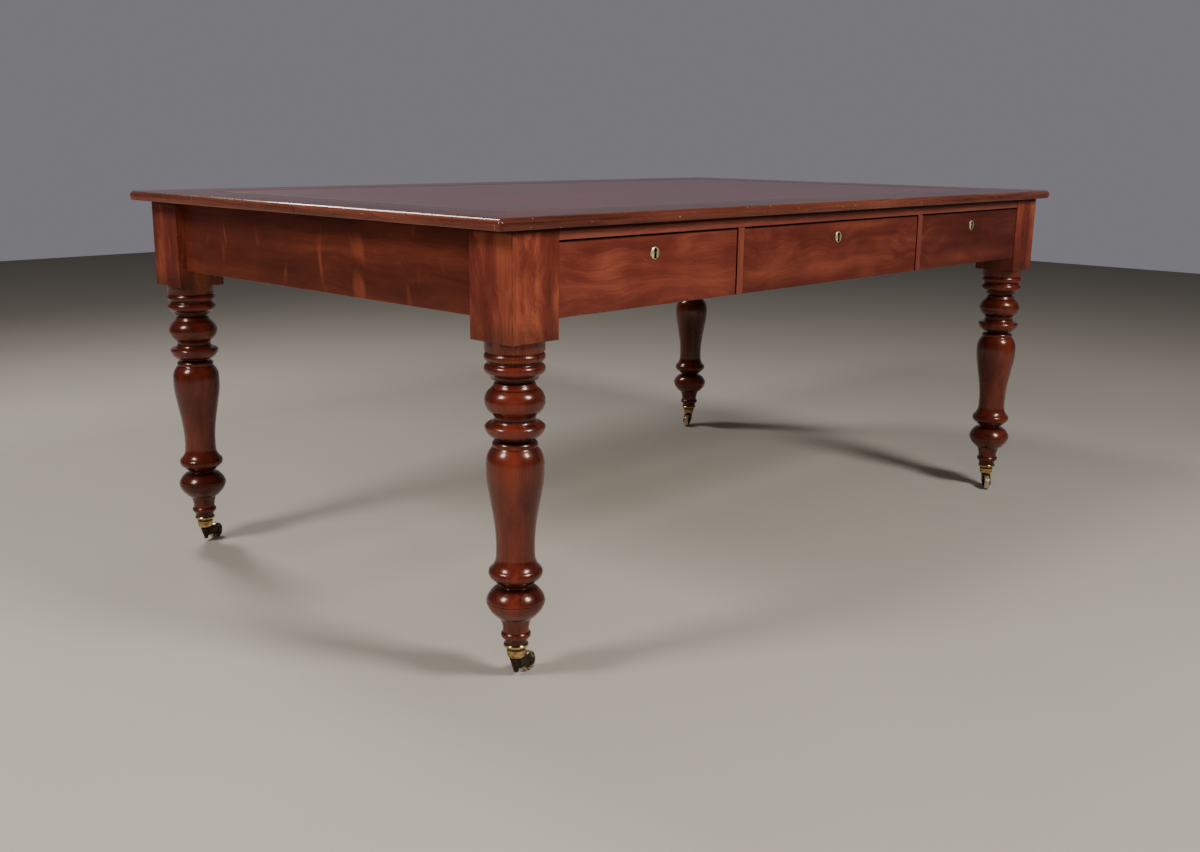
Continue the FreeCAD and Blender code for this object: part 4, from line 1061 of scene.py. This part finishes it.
# The camera as it stood for the photograph, in the table's frame
CAMERA_PLACE = (-2.1386, -1.9173, 0.8719)
CAMERA_YAW = math.radians(43.3)
CAMERA_PITCH = math.radians(-13.01)
CAMERA_ROLL = math.radians(0.63)
FOCAL_PIXELS = 1247.0
PHOTO_WIDTH = 1200
SENSOR_WIDTH = 36.0
# Lamps: name, place, what they face, width, height, watts, and whether polish mirrors them
SOFTBOXES = (
    ("left_softbox", (-3.45, 0.37, 2.87), (-0.7, -0.1, 0.5), 0.85, 1.05, 88, True),
    ("right_softbox", (0.27, -3.18, 3.0), (-0.7, -0.4, 0.5), 0.85, 1.05, 126, True),
    ("low_fill", (-2.9, -2.9, 1.5), (-0.5, -0.4, 0.5), 2.0, 1.4, 38, False),
    ("back_softbox", (-0.5, 2.25, 2.75), (-0.6, -0.3, 0.7), 0.5, 1.1, 50, True),
)


def floor():
    """A plain pale floor, a little cloudy."""
    skin = bmesh.new()
    bmesh.ops.create_grid(skin, x_segments=1, y_segments=1, size=FLOOR_SIZE / 2)
    maker = Maker("pale_floor")
    cloud = maker.noise(maker.place(), scale=1.3, detail=5)
    tone = maker.mix(cloud, opaque(FLOOR_TONE, 0.92), opaque(FLOOR_TONE, 1.06))
    thing = made("floor", skin, maker.finish(
        Base_Color=tone, Roughness=0.75, Specular_IOR_Level=0.2))


def backdrop():
    """A plain grey studio all round, lit behind the table."""
    world = bpy.data.worlds.new("studio")
    world.use_nodes = True
    bpy.context.scene.world = world
    nodes = Nodes(world.node_tree)
    way = nodes.node("ShaderNodeTexCoord", {}, {}, "Generated")
    lit = nodes.mix(way.part("Z").step(0.1, 0.7), opaque(LIT_LOW), opaque(LIT_HIGH))
    ahead = way.part("X") * math.cos(CAMERA_YAW) + way.part("Y") * math.sin(CAMERA_YAW)
    nodes.feed(world.node_tree.nodes["Background"].inputs["Color"],
               nodes.mix(ahead.step(0.3, 0.85), opaque(UNLIT), lit))


def softbox(name, place, target, width, height, power, mirrored):
    """A rectangular studio light that faces a point. Unless mirrored it leaves no highlight."""
    lamp = bpy.data.lights.new(name, "AREA")
    lamp.shape = "RECTANGLE"
    lamp.size = width
    lamp.size_y = height
    lamp.energy = power
    thing = bpy.data.objects.new(name, lamp)
    thing.visible_glossy = mirrored
    thing.location = place
    thing.rotation_mode = "QUATERNION"
    thing.rotation_quaternion = (Vector(target) - Vector(place)).to_track_quat("-Z", "Y")
    bpy.context.scene.collection.objects.link(thing)


def camera():
    """The camera, turned by its yaw and pitch and then rolled about its own axis."""
    lens = bpy.data.cameras.new("camera")
    lens.sensor_width = SENSOR_WIDTH
    lens.lens = FOCAL_PIXELS / PHOTO_WIDTH * SENSOR_WIDTH
    lens.clip_start = 0.01
    lens.clip_end = 100
    thing = bpy.data.objects.new("camera", lens)
    ahead = Vector((math.cos(CAMERA_YAW) * math.cos(CAMERA_PITCH),
                    math.sin(CAMERA_YAW) * math.cos(CAMERA_PITCH), math.sin(CAMERA_PITCH)))
    level = ahead.to_track_quat("-Z", "Y")
    thing.rotation_mode = "QUATERNION"
    thing.rotation_quaternion = level @ Euler((0, 0, CAMERA_ROLL)).to_quaternion()
    thing.location = CAMERA_PLACE
    bpy.context.scene.collection.objects.link(thing)
    bpy.context.scene.camera = thing


floor()
backdrop()
for lamp in SOFTBOXES:
    softbox(*lamp)
camera()
